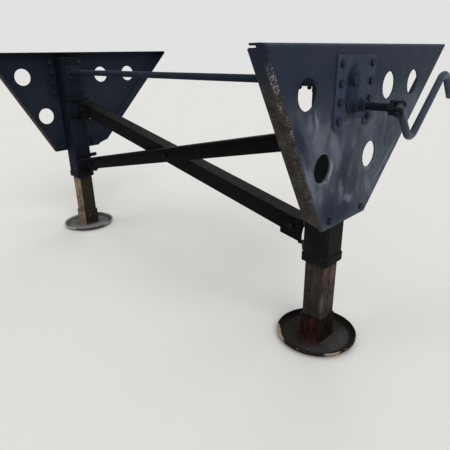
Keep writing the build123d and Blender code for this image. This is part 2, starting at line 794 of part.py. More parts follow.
# Crank handle, a bent round bar with a flattened tongue on the pin
tongue_start = pin_place - pin_across * (tongue_thickness / 2)
tongue_plane = Plane(origin=tongue_start, x_dir=(1, 0, 0), z_dir=pin_across)
with BuildPart() as crank_handle:
    bar_start = pin_place + drop_line * tongue_reach
    corner_low = pin_place + drop_line * handle_drop
    corner_high = corner_low + pin_across * handle_arm
    grip_end = corner_high + drop_line * handle_grip
    with BuildLine() as bar_path:
        FilletPolyline(bar_start, corner_low, corner_high, grip_end, radius=handle_bend)
    with BuildSketch(Plane(origin=bar_start, x_dir=(1, 0, 0), z_dir=drop_line)):
        Circle(handle_size / 2)
    sweep(path=bar_path.line)
    with BuildSketch(tongue_plane):
        Circle(tongue_width / 2)
    extrude(amount=tongue_thickness)
    # the tongue runs from the pin into the bar
    with BuildSketch(Plane(origin=pin_place, x_dir=(1, 0, 0), z_dir=drop_line)):
        Rectangle(tongue_width, tongue_thickness)
    with BuildSketch(Plane(origin=bar_start + drop_line * tongue_blend, x_dir=(1, 0, 0), z_dir=drop_line)):
        Rectangle(tongue_thickness, tongue_thickness)
    loft()
    with BuildSketch(fork_plane):
        Circle(pin_size / 2 + running_gap)
    extrude(amount=fork_width, mode=Mode.SUBTRACT)
save(crank_handle.part, "crank_handle")
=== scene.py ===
"""Looks of the landing gear of a semi trailer: paint, rust, welds and bolts, floor, lamps and camera."""
import math
from itertools import product

import bpy
import numpy as np
from bpy.props import FloatProperty, FloatVectorProperty, IntProperty, PointerProperty
from mathutils import Matrix, Vector


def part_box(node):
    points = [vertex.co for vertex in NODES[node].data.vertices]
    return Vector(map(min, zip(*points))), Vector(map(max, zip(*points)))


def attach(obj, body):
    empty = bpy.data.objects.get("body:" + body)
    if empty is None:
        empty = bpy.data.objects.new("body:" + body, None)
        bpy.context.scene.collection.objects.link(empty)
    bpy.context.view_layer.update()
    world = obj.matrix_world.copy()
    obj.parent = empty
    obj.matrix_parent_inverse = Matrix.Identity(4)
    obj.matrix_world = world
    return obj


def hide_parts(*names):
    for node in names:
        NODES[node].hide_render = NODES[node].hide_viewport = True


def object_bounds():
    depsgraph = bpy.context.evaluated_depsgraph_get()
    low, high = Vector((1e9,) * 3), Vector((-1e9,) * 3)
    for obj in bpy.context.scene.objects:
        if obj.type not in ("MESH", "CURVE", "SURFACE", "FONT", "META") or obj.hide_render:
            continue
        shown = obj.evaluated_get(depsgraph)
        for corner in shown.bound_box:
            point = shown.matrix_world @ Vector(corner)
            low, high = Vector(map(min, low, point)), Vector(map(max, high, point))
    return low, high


bl_info = {
    "name": "Trailer landing gear",
    "version": (1, 0, 0),
    "blender": (4, 5, 0),
    "location": "View3D > Sidebar > Landing gear",
    "description": "Finishes the landing gear of a semi trailer and sets it on a studio floor",
    "category": "Object",
}

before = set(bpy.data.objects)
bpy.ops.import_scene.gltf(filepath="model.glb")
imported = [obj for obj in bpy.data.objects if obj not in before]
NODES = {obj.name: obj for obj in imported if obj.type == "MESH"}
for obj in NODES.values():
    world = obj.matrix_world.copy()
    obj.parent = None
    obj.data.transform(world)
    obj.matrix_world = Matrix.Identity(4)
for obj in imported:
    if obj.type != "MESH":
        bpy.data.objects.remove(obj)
CAD_BOX = [list(corner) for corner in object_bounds()]
GROUND = CAD_BOX[0][2]
SIDES = {"left": 1.0, "right": -1.0}
FOOT_SLOTS = {"left": "rusty_foot", "right": "plain_foot"}
ACROSS, LEVEL, UPRIGHT = np.array((1.0, 0.0, 0.0)), np.array((0.0, -1.0, 0.0)), np.array((0.0, 0.0, 1.0))

# Bolts: size, head across its flats, heights of head and nut, thread past the nut, and the smaller bolts
BOLT_SIZE, BOLT_HEAD, BOLT_HEAD_HEIGHT, NUT_HEIGHT, BOLT_END = 0.015875, 0.024, 0.010, 0.014, 0.0039
COUPLING_BOLT, FORK_BOLT = 0.0095, 0.0127

# Bolts of a wing plate: y of its columns, first height, pitch and number of rows, y and z of the low bolts
PLATE_COLUMNS, PLATE_FIRST_ROW, PLATE_ROW_PITCH, PLATE_ROWS = (-0.088, 0.112), -0.061, 0.060, 4
PLATE_LOW_BOLTS = ((-0.085, -0.600), (0.145, -0.600))

# Braces: thickness, height where they cross, x and rise of their end bolts. Brackets: thickness, shelf bolt
BRACE_STEEL, BRACE_CROSSING, BRACE_END, BRACE_RISE = 0.00635, -0.5215, 0.83485, 0.17824
BRACKET_STEEL, SHELF_BOLT_X, SHELF_BOLT_Y = 0.008, 0.90685, 0.024

# Crank: its fork and the lean of the fork's pin, the gearbox boss, the handle's runs, bends, bar and tongue
FORK_PLACE, FORK_WIDTH, FORK_LEAN = np.array((1.224, 0.0, -0.195)), 0.036, math.radians(43.0)
FORK_LINE = np.array((0.0, math.cos(FORK_LEAN), math.sin(FORK_LEAN)))
FORK_DROP = np.array((0.0, FORK_LINE[2], -FORK_LINE[1]))
BOSS_PLACE = (1.1, -0.026, -0.111)
HANDLE_ARM, HANDLE_RUN, HANDLE_GRIP, HANDLE_BEND = 0.165, 0.330, 0.140, 0.042
BAR_HALF, TONGUE_HALF, TONGUE_END, TONGUE_RADIUS = 0.0127, 0.0095, 0.0148, 0.015

# Foot dish: radius where its floor starts to bend up, wall thickness, and height of the lip over the bend
DISH_FLOOR, DISH_WALL, DISH_LIP = 0.134, 0.0062, 0.004

# Heights where the beads along the mounting flange stop and start again
BEAD_STOP, BEAD_START = -0.268, -0.561

# Slopes of a wing plate's front and rear edges, square to the edge and pointing inwards and outwards
FRONT_SLOPE = Vector((0.0, 0.630, 0.341)).normalized()
REAR_SLOPE = Vector((0.0, 1.0, -1.0)).normalized()

# Linear colour of old grease
GREASE = (0.010, 0.009, 0.008)


def srgb(red, green, blue):
    """Linear colour of a screen colour of 0 to 255, by a short straight start and a power of 2.4."""
    values = np.array((red, green, blue)) / 255.0
    linear = np.where(values <= 0.04045, values / 12.92, ((values + 0.055) / 1.055) ** 2.4)
    return tuple(float(v) for v in linear)


def colour_setting(name, description, colour):
    """A colour that the user may change."""
    default = srgb(*colour)
    return FloatVectorProperty(
        name=name, description=description, default=default, subtype="COLOR", min=0.0, max=1.0
    )


def length_setting(name, description, value):
    """A length in metres that the user may change."""
    return FloatProperty(
        name=name, description=description, default=value, unit="LENGTH", min=0.0, precision=4
    )


def angle_setting(name, description, value):
    """An angle, given in degrees, that the user may change."""
    return FloatProperty(name=name, description=description, default=math.radians(value), subtype="ANGLE")


def level_setting(name, description, value):
    """A strength of light that the user may change."""
    return FloatProperty(name=name, description=description, default=value, min=0.0)


class StageSettings(bpy.types.PropertyGroup):
    """Camera, floor and lamps."""

    camera_place: FloatVectorProperty(
        name="Camera place",
        description="Where the camera stands",
        default=(1.8, -1.378, -0.025),
        subtype="XYZ",
        unit="LENGTH",
    )
    camera_heading: angle_setting(
        "Camera heading", "Turn of the view from straight back towards the other leg", 44.74
    )
    camera_pitch: angle_setting("Camera pitch", "How far the camera looks down", 21.99)
    camera_roll: angle_setting("Camera roll", "Lean of the camera about its own line of sight", -0.98)
    lens: FloatProperty(name="Lens", description="Focal length on a 36 mm frame", default=33.948, min=1.0)
    floor_colour: colour_setting("Floor", "Colour of the studio floor", (214, 212, 207))
    backdrop_colour: colour_setting("Backdrop", "Colour of the air behind the floor", (226, 226, 226))
    key_level: level_setting("Key lamp", "Strength of the soft light from the crank side", 1.45)
    fill_level: level_setting("Fill lamps", "Strength of the soft light from the other sides", 0.48)
    top_level: level_setting("Top lamp", "Strength of the soft light from above", 0.62)
    lamp_spread: angle_setting("Lamp spread", "How wide each lamp looks from the object", 42.0)
    air_level: level_setting("Air light", "Strength of the even light from all round", 0.55)


class PaintSettings(bpy.types.PropertyGroup):
    """Colours of the painted and the bare steel."""

    # the blue tint of this paint is painted skylight; the paint itself is a neutral dark grey
    plate: colour_setting("Wing plate paint", "Weathered dark paint of the crank side plate", (60, 65, 77))
    # this tone is also painted shade: along the top of the wing plates and their folds and on their inboard
    # faces; at 0.45 it is the other outer tube's paint, whose blue tint is painted skylight
    plate_dark: colour_setting("Sheltered paint", "Paint that dust and scuffs have not reached", (26, 34, 49))
    # this tone is also the painted highlight on one side of the crank handle and, with the flecks, on the
    # pale rings round the low holes
    scuff: colour_setting("Scuffs", "Pale streaks where dust and wear lighten the paint", (114, 118, 127))
    flange: colour_setting("Rusted fold", "Brown front fold of the wing plates", (54, 50, 47))
    fleck: colour_setting(
        "Bare flecks", "Pale flecks where the paint has chipped off the bend", (160, 155, 149)
    )
    frame: colour_setting("Frame paint", "Black paint of the tubes, brackets and braces", (11, 12, 14))
    dust: colour_setting("Dust", "Road dust on the frame", (40, 40, 43))
    rust: colour_setting("Rust", "Rust where the paint is gone", (76, 40, 27))
    gearbox: colour_setting("Gearbox paint", "Paint of the gearbox cover and its plate", (41, 50, 66))
    crank: colour_setting("Crank", "Dark steel of the crank", (33, 41, 54))
    tube: colour_setting("Inner tube", "Brown weathered steel of the sliding tubes", (43, 39, 35))
    # on the sliding tubes these two are laid on the faces looking along +X, which they make lighter: wear and
    # painted light
    tube_worn: colour_setting("Worn tube", "Greyish steel where the sliding tube is rubbed", (76, 68, 64))
    tube_pink: colour_setting("Pink patch", "Pinkish old primer and rust below the collar", (88, 66, 63))
    # this tan is rust and painted sunlight: it lights the front of the other sliding tube and of its socket
    tube_tan: colour_setting(
        "Tan front", "Tan rust in front on the other sliding tube and foot", (150, 131, 106)
    )
    # this brown is also painted shade: on the other sliding tube's faces that do not look forwards and on its
    # socket's inboard face
    foot: colour_setting("Foot", "Dark brown steel of the foot on the crank side", (34, 29, 22))
    foot_film: colour_setting("Foot film", "Grey film of mud on the floor of that foot", (54, 53, 53))
    foot_plain: colour_setting("Plain foot", "Grey steel of the other foot", (112, 110, 110))


class WeldSettings(bpy.types.PropertyGroup):
    """Sizes of the weld beads."""

    width: length_setting("Bead width", "Width of a weld bead", 0.0085)
    height: length_setting("Bead height", "Height of a weld bead above its corner", 0.0036)
    pitch: length_setting("Ripple pitch", "Distance between two ripples", 0.0034)
    round_points: IntProperty(
        name="Points round", description="Points round the bead's section", default=12, min=6
    )


# Surfaces


def ring_quads(rows, ring, rows_closed=False):
    """Numbers of a grid's points, and the quads between its rows, each row a closed ring."""
    index = np.arange(rows * ring).reshape(rows, ring)
    here = index if rows_closed else index[:-1]
    there = np.roll(index, -1, axis=0)[: len(here)]
    here_after, there_after = np.roll(here, -1, axis=1), np.roll(there, -1, axis=1)
    return index, np.stack((here, there, there_after, here_after), axis=-1).reshape(-1, 4)


def skin(grid, rows_closed=False, caps=False):
    """Points and faces of a grid: rows along the first parameter, closed rings round the second.

    Quads join each row to the next. Rows_closed joins the last row to the first, and caps closes both end
    rings. The sum of the signed volumes under the quads says whether the faces have to be turned outwards.
    """
    index, quads = ring_quads(*grid.shape[:2], rows_closed)
    points = grid.reshape(-1, 3)
    a, b, c, d = (points[quads[:, corner]] - points.mean(axis=0) for corner in range(4))
    outwards = np.einsum("ij,ij->i", a, np.cross(b, c) + np.cross(c, d)).sum() > 0
    faces = (quads if outwards else quads[:, ::-1]).tolist()
    if caps:
        first, last = index[0].tolist(), index[-1].tolist()
        faces += [first, last[::-1]] if outwards else [first[::-1], last]
    return points, faces


def surface(name, skins, finish, body, slot, replaced=()):
    """One piece from one or more skins, smooth, riding on a body and standing for the nodes it replaces."""
    points, faces, start = [], [], 0
    for skin_points, skin_faces in skins:
        points.append(skin_points)
        faces += [[corner + start for corner in face] for face in skin_faces]
        start += len(skin_points)
    mesh = bpy.data.meshes.new(name)
    mesh.from_pydata(np.vstack(points).tolist(), [], faces)
    mesh.polygons.foreach_set("use_smooth", np.ones(len(faces), dtype=bool))
    mesh.set_sharp_from_angle(angle=math.radians(38.0))
    mesh.materials.append(finish)
    piece = bpy.data.objects.new(name, mesh)
    bpy.context.scene.collection.objects.link(piece)
    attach(piece, body)
    if replaced:
        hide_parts(*replaced)
    return piece


def unit_rows(vectors):
    """Each row of an array brought to length 1."""
    return vectors / np.linalg.norm(vectors, axis=1, keepdims=True)


def running_length(points):
    """Length of a polyline up to each of its points: the sum of the distances between neighbours."""
    return np.concatenate(([0.0], np.cumsum(np.linalg.norm(np.diff(points, axis=0), axis=1))))


def read_off(where, length, values):
    """Rows of values read off at places along a running length."""
    return np.stack([np.interp(where, length, values[:, axis]) for axis in range(3)], axis=1)


def even_path(points, outward, step, closed):
    """Points and outward directions read off a polyline at even steps of its running length."""
    if closed:
        points, outward = np.vstack((points, points[:1])), np.vstack((outward, outward[:1]))
    length = running_length(points)
    count = max(int(round(length[-1] / step)), 8)
    at = np.linspace(0.0, length[-1], count, endpoint=not closed)
    return read_off(at, length, points), unit_rows(read_off(at, length, outward)), at, length[-1]


def full_turn(count):
    """Angles of a full turn in even steps."""
    return np.linspace(0.0, 2 * math.pi, count, endpoint=False)


def rounded_loop(half_u, half_v, corner, bend_points=10):
    """Rectangle with a quarter circle about each corner's centre in turn, and its outward directions."""
    quarter = np.linspace(0.0, math.pi / 2, bend_points)
    turn = (np.arange(4)[:, None] * math.pi / 2 + quarter[None, :]).ravel()
    sign_u = np.repeat((1.0, -1.0, -1.0, 1.0), bend_points)
    sign_v = np.repeat((1.0, 1.0, -1.0, -1.0), bend_points)
    out = np.stack((np.cos(turn), np.sin(turn)), axis=1)
    middle = np.stack((sign_u * (half_u - corner), sign_v * (half_v - corner)), axis=1)
    return middle + corner * out, out


def bead(name, points, outward, finish, slot, closed=False, size=1.0, seed=1):
    """Weld bead on the stand: an ellipse carried along the path, its long axis across, its short one out.

    Its height swells by a cosine that repeats every pitch and lags at the sides, so that the ripples curve.
    Both axes swell by three slow sines with seeded phases, and at an open end shrink along a quarter circle.
    """
    weld = bpy.context.scene.landing_gear_welds
    path, out, at, length = even_path(np.asarray(points), np.asarray(outward), weld.pitch / 4, closed)
    if closed:
        along = np.roll(path, -1, axis=0) - np.roll(path, 1, axis=0)
    else:
        along = np.gradient(path, axis=0)
    across = np.cross(unit_rows(along), out)
    angle = full_turn(weld.round_points)
    lag = 0.35 * weld.width * np.cos(angle)[None, :] ** 2
    ripple = 0.16 * np.cos(2 * math.pi * (at[:, None] - lag) / weld.pitch)
    phases = np.random.default_rng(seed).uniform(0.0, 2 * math.pi, 3)
    turns = 2 * math.pi * at[:, None] / length
    waves = zip((0.09, 0.04, 0.017), phases)
    swell = size * (1.0 + sum(0.09 * np.sin(turns * round(length / wave) + phase) for wave, phase in waves))
    if not closed:
        run = np.clip(np.minimum(at, length - at) / weld.width, 0.0, 1.0)[:, None]
        swell = swell * np.sqrt(np.maximum(1.0 - (1.0 - run) ** 2, 1e-4))
    wide = weld.width / 2 * np.cos(angle)[None, :] * swell
    high = weld.height * np.sin(angle)[None, :] * swell * (1.0 + ripple)
    grid = path[:, None, :] + wide[..., None] * across[:, None, :] + high[..., None] * out[:, None, :]
    return surface(name, [skin(grid, rows_closed=closed, caps=not closed)], finish, "stand", slot)


def turned_dish(profile, centre, dents, seed, ring=144):
    """Surface of revolution about a vertical axis, its profile given as rows of radius and height.

    Outside the dents' radius both swing by three slow cosines of the turn, and grow to the dents' depth.
    """
    turn = full_turn(ring)
    radius, height = profile[:, 0][:, None], profile[:, 1][:, None]
    phases = np.random.default_rng(seed).uniform(0.0, 2 * math.pi, 3)
    wave = sum(np.cos(count * turn + phase) / count for count, phase in zip((2, 3, 5), phases))[None, :]
    start, depth = dents
    share = np.clip((radius - start) / (radius.max() - start), 0.0, 1.0) ** 2
    swung = radius - depth * share * (1.0 + 0.5 * wave)
    dip = 0.7 * depth * share * (1.0 + 0.5 * np.roll(wave, ring // 5, axis=1))
    raised = np.maximum(height - dip, height.min())
    across, back = centre.x + swung * np.cos(turn), centre.y + swung * np.sin(turn)
    return np.stack((across, back, raised + 0 * turn), axis=-1)


def bent_path(corners, bend, arc_points=14):
    """Straight runs joined by arcs of one radius, each about the point that lies a radius off both runs."""
    points = [corners[0]]
    for before, corner, after in zip(corners, corners[1:], corners[2:]):
        back, on = before - corner, after - corner
        back, on = back / np.linalg.norm(back), on / np.linalg.norm(on)
        half = np.arccos(np.dot(back, on)) / 2
        whole = math.pi - 2 * half
        middle = corner + (back + on) / np.linalg.norm(back + on) * bend / math.sin(half)
        first = corner + back * bend / math.tan(half) - middle
        last = corner + on * bend / math.tan(half) - middle
        turn = np.linspace(0.0, whole, arc_points)[:, None]
        points.extend(middle + (np.sin(whole - turn) * first + np.sin(turn) * last) / math.sin(2 * half))
    points.append(corners[-1])
    return np.array(points)


def cross_axes(axis):
    """Two directions of length 1, square to an axis and to each other."""
    side = np.cross(axis, (0.31, 0.59, 0.74))
    side /= np.linalg.norm(side)
    return side, np.cross(axis, side)


def shank(near, far, size):
    """Plain round bar between two faces: one circle at each end."""
    axis = (near - far) / np.linalg.norm(near - far)
    side, up = cross_axes(axis)
    turn = full_turn(24)[:, None]
    circle = 0.98 * size / 2 * (np.cos(turn) * side + np.sin(turn) * up)
    return np.stack((near + circle + 0.001 * axis, far + circle - 0.001 * axis))


def bolt_end(seat, axis, start, size, nut):
    """Bolt head, or nut with the threaded end, on a seat, as grids of rings stacked along the bolt's axis.

    A ring is a circle or the hexagon, whose radius is half its width across the flats over the cosine of the
    turn from the nearest flat. The hexagon's corners fall away along a cone of 30 degrees, and the thread's
    radius swings with the cosine of the turns of the screw line.
    """
    side, up = cross_axes(axis)
    turn = full_turn(36)
    scale = size / BOLT_SIZE
    flats, tall = BOLT_HEAD * scale, (NUT_HEIGHT if nut else BOLT_HEAD_HEIGHT) * scale
    edge, bore, washer = 0.94 * flats / 2, size / 2, 0.0009
    hexagon = flats / 2 / np.cos(((turn + start) % (math.pi / 3)) - math.pi / 6)
    drop = (hexagon - edge) * math.tan(math.radians(30.0))
    flat = 0 * turn
    rings = [(edge + flat, flat), (edge + flat, flat + washer)]
    rings += [(hexagon, washer + (drop if nut else flat)), (hexagon, tall - drop), (edge + flat, tall + flat)]
    if nut:
        rings += [(1.12 * bore + flat, tall + flat), (1.02 * bore + flat, tall - 0.0012 + flat)]
    else:
        rings += [(0.55 * edge + flat, tall + flat), (0.5 * edge + flat, tall - 0.0004 + flat)]
    stacks = [rings]
    if nut:
        pitch = 0.13 * size
        heights = np.arange(tall - 0.004, tall + BOLT_END * scale + 1e-6, pitch / 6)
        taper = 0.86 + 0.14 * np.clip((heights[-1] - heights) / (0.8 * pitch), 0.0, 1.0)
        thread = 1.0 - 0.055 * (1.0 + np.cos(2 * math.pi * heights[:, None] / pitch - turn[None, :]))
        rows = zip(thread, taper, heights)
        stacks.append([(bore * row * near, height + flat) for row, near, height in rows])
    outwards = np.cos(turn)[None, :, None] * side + np.sin(turn)[None, :, None] * up
    for stack in stacks:
        radius, height = (np.array(values)[..., None] for values in zip(*stack))
        yield seat + radius * outwards + height * axis


# Node materials


class Finish:
    """One node material: masks and tones from nodes, and a colour that is built up from them in layers.

    A method that makes a mask, a distance or a colour adds nodes and gives their output. Masks run from 0 to
    1, colours are linear and places are in metres.
    """

    def __init__(self, name):
        self.material = bpy.data.materials.new(name)
        self.material.use_nodes = True
        self.tree = self.material.node_tree
        self.shader = self.tree.nodes["Principled BSDF"]
        self.place = self.node("TexCoord").outputs["Object"]
        self.normal = self.node("NewGeometry").outputs["Normal"]
        self.colour = None

    def node(self, kind, inputs=(), **settings):
        """A node with its settings and the inputs that are given by name or number."""
        made = self.tree.nodes.new("ShaderNode" + kind)
        for key, value in settings.items():
            setattr(made, key, value)
        for key, value in dict(inputs).items():
            if isinstance(value, bpy.types.NodeSocket):
                self.tree.links.new(value, made.inputs[key])
            elif made.inputs[key].type == "RGBA":
                made.inputs[key].default_value = (*value, 1.0)
            else:
                made.inputs[key].default_value = value
        return made

    def vector(self, operation, *values):
        """Result of a vector operation: a value for a dot product or a length, a vector for any other."""
        made = self.node("VectorMath", dict(enumerate(values)), operation=operation)
        return made.outputs["Value" if operation in ("DOT_PRODUCT", "LENGTH") else "Vector"]

    def result(self, operation, *values):
        """Result of an operation on two or more values, taken in turn and kept between 0 and 1."""
        value = values[0]
        for other in values[1:]:
            value = self.node("Math", {0: value, 1: other}, operation=operation, use_clamp=True).outputs[0]
        return value

    def both(self, *masks):
        """Product of masks."""
        return self.result("MULTIPLY", *masks)

    def either(self, *masks):
        """Sum of masks."""
        return self.result("ADD", *masks)

    def noise(self, scale, detail=4.0, rough=0.55, at=None, twist=0.0):
        """Cloudy value."""
        inputs = {"Vector": at or self.place, "Scale": scale, "Detail": detail, "Roughness": rough}
        return self.node("TexNoise", {**inputs, "Distortion": twist}).outputs["Fac"]

    def cloud(self, scale, low, high, detail=4.0, rough=0.55, **how):
        """Mask of cloudy noise, cut between low and high."""
        return self.band(self.noise(scale, detail, rough, **how), low, high)

    def runs(self, wide, tall, low, high, detail=4.0, rough=0.6, twist=0.0, shift=0.0):
        """Mask of noise drawn out along Z, with its scale across and along, shifted along Y."""
        inputs = {"Vector": self.place, "Scale": (wide, wide, tall), "Location": (0.0, shift * wide, 0.0)}
        drawn = self.node("Mapping", inputs).outputs[0]
        return self.cloud(1.0, low, high, detail, rough, at=drawn, twist=twist)

    def band(self, value, low, high):
        """0 below low, 1 above high and a smooth step between. With low above high it falls instead."""
        inputs = {"Value": value, "From Min": low, "From Max": high}
        return self.node("MapRange", inputs, interpolation_type="SMOOTHSTEP").outputs[0]

    def stripe(self, value, start, full, fade, end):
        """0 up to the start, 1 from full to fade and 0 from the end on."""
        return self.both(self.band(value, start, full), self.band(value, end, fade))

    def span(self, value, low, high):
        """The value, from 0 to 1, brought between low and high."""
        return self.node("MapRange", {"Value": value, "To Min": low, "To Max": high}).outputs[0]

    def mix(self, share, a, b):
        """Colour between a and b."""
        return self.node("Mix", {0: share, 6: a, 7: b}, data_type="RGBA").outputs[2]

    def lay(self, tone, *masks):
        """Lays a tone over the colour by the product of masks."""
        self.colour = self.mix(self.both(*masks), self.colour, tone)

    def axis(self, number):
        """One of the place's three values."""
        return self.node("SeparateXYZ", {0: self.place}).outputs[number]

    def facing(self, direction, low, high):
        """Mask of how far the surface faces a direction."""
        return self.band(self.vector("DOT_PRODUCT", self.normal, direction), low, high)

    def along(self, direction, start=(0.0, 0.0, 0.0)):
        """Signed distance along a direction from a start."""
        return self.vector("DOT_PRODUCT", self.vector("SUBTRACT", self.place, start), direction)

    def from_point(self, point, squeeze=(1.0, 1.0, 1.0)):
        """Distance from a point, with each axis scaled."""
        offset = self.vector("SUBTRACT", self.place, point)
        return self.vector("LENGTH", self.vector("MULTIPLY", offset, squeeze))

    def shaken(self, value, scale, reach):
        """A distance moved up or down by cloudy noise, so that a border at it turns ragged."""
        moved = self.node("Math", {0: self.noise(scale, 6.0, 0.65), 1: -0.5}, operation="ADD").outputs[0]
        return self.node("Math", {0: moved, 1: reach, 2: value}, operation="MULTIPLY_ADD").outputs[0]

    def shaken_place(self, scale, reach):
        """The object's coordinates moved about by coloured noise."""
        noise = self.node("TexNoise", {"Vector": self.place, "Scale": scale, "Detail": 4.0}).outputs["Color"]
        offset = self.vector("SUBTRACT", noise, (0.5,) * 3)
        return self.vector("MULTIPLY_ADD", offset, (reach,) * 3, self.place)

    def streak(self, place, lower, upper, half_width):
        """1 in an ellipse of the YZ plane, from a lower to an upper end, that fades towards its rim."""
        run, middle = Vector(upper) - Vector(lower), (Vector(upper) + Vector(lower)) / 2
        inputs = {
            "Vector": place,
            "Location": (0.0, *middle),
            "Rotation": (math.atan2(-run.x, run.y), 0.0, 0.0),
            "Scale": (1e3, half_width, run.length / 2),
        }
        local = self.node("Mapping", inputs, vector_type="TEXTURE").outputs[0]
        return self.band(self.vector("LENGTH", local), 1.35, 0.35)

    def edges(self, radius, low=0.985, high=0.86):
        """1 on sharp edges: where the normal rounded over the radius leaves the true one."""
        bevel = self.node("Bevel", {"Radius": radius}, samples=6).outputs[0]
        return self.band(self.vector("DOT_PRODUCT", bevel, self.normal), low, high)

    def finish(self, roughness, edge, reliefs, metallic=0.0, specular=0.5):
        """Puts the colour, roughness and relief on the shader and gives the material.

        The reliefs, rows of height, strength and distance, lie one over another on edges rounded by a radius.
        """
        relief = self.node("Bevel", {"Radius": edge}, samples=4).outputs[0]
        for height, strength, distance in reliefs:
            inputs = {"Height": height, "Strength": strength, "Distance": distance, "Normal": relief}
            relief = self.node("Bump", inputs).outputs[0]
        for name, value in (("Base Color", self.colour), ("Roughness", roughness), ("Normal", relief)):
            self.tree.links.new(value, self.shader.inputs[name])
        self.shader.inputs["Metallic"].default_value = metallic
        self.shader.inputs["Specular IOR Level"].default_value = specular
        return self.material


def scaled(colour, factor):
    """A colour made darker or lighter."""
    return tuple(float(c) * factor for c in colour[:3])


def paint_of(name, factor=1.0):
    """A colour of the paint settings, made darker or lighter."""
    return scaled(getattr(bpy.context.scene.landing_gear_paint, name), factor)


def painted_steel(name, base, dust=0.5, rust=0.3, rub=0.6, specular=0.08, shade_node=None):
    """Old paint on steel: blotches, dust on upper faces, run marks, chips with rust, rubbed edges.

    The last argument names a node whose box places the painted shade of the gearbox.
    """
    f = Finish(name)
    f.colour = f.mix(f.cloud(6.0, 0.3, 0.75, 5.0), scaled(base, 0.7), scaled(base, 1.3))
    f.lay(scaled(base, 1.9), f.cloud(42.0, 0.5, 0.72, 6.0, 0.7), 0.4)
    f.lay(paint_of("dust"), f.runs(55.0, 4.0, 0.52, 0.75), 0.35 * dust)
    settled = f.both(f.facing((0.0, 0.0, 1.0), 0.25, 0.9), f.cloud(26.0, 0.3, 0.72, 5.0), 0.7 * dust)
    film = f.both(f.cloud(13.0, 0.45, 0.72, 7.0, 0.65), 0.6 * dust)
    f.lay(paint_of("dust"), f.either(film, settled))
    chips = f.both(f.cloud(85.0, 0.6, 0.66, 6.0, 0.7), f.cloud(7.0, 0.5, 0.62, 3.0))
    f.lay(f.mix(f.cloud(120.0, 0.35, 0.65, 3.0), paint_of("rust", 0.5), paint_of("rust")), chips, rust)
    bare = f.mix(f.noise(90.0), paint_of("dust", 0.8), paint_of("scuff", 0.6))
    f.lay(bare, f.edges(0.003), f.cloud(46.0, 0.42, 0.66, 5.0, 0.65), rub)
    if shade_node:
        gearbox_painted_shade(f, base, *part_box(shade_node))
    roughness = f.span(f.either(f.both(f.noise(30.0, 5.0), 0.6), f.both(film, 0.4)), 0.5, 0.9)
    reliefs = ((f.noise(420.0, 3.0), 0.10, 0.0006), (chips, 0.35, 0.0007), (f.noise(14.0, 2.0), 0.12, 0.004))
    return f.finish(roughness, 0.0012, reliefs, specular=specular)


def gearbox_painted_shade(f, base, low, high):
    """Painted shade: a dark ellipse by the box's rim, faces that look back or down darker, a dark ring round
    the boss, a dark strip along the rear; and darker round the hub.
    """
    reach = (high.y - low.y) / 2
    rim = f.from_point((low + high) / 2, (0.0, 1.0, (high.y - low.y) / (high.z - low.z)))
    rim = f.stripe(f.shaken(rim, 30.0, 0.012), reach - 0.012, reach - 0.003, reach + 0.002, reach + 0.018)
    shaded = f.facing((0.0, 0.8, -0.6), 0.1, 0.6)
    f.lay(scaled(base, 0.35), f.either(f.both(rim, 0.55), f.both(shaded, 0.7)))
    hub = f.band(f.shaken(f.from_point(FORK_PLACE, (0.0, 1.0, 1.0)), 40.0, 0.012), 0.036, 0.024)
    boss = f.stripe(f.from_point(BOSS_PLACE, (0.0, 1.0, 1.0)), 0.012, 0.0145, 0.019, 0.028)
    f.lay(scaled(base, 0.3), f.either(f.both(hub, 0.75), f.both(boss, 0.35)))
    rear = f.stripe(f.axis(1), high.y - 0.012, high.y - 0.006, high.y + 0.003, high.y + 0.010)
    upright = f.stripe(f.axis(2), low.z + 0.010, low.z + 0.030, high.z - 0.026, high.z - 0.006)
    f.lay(scaled(base, 0.3), rear, upright, 0.8)


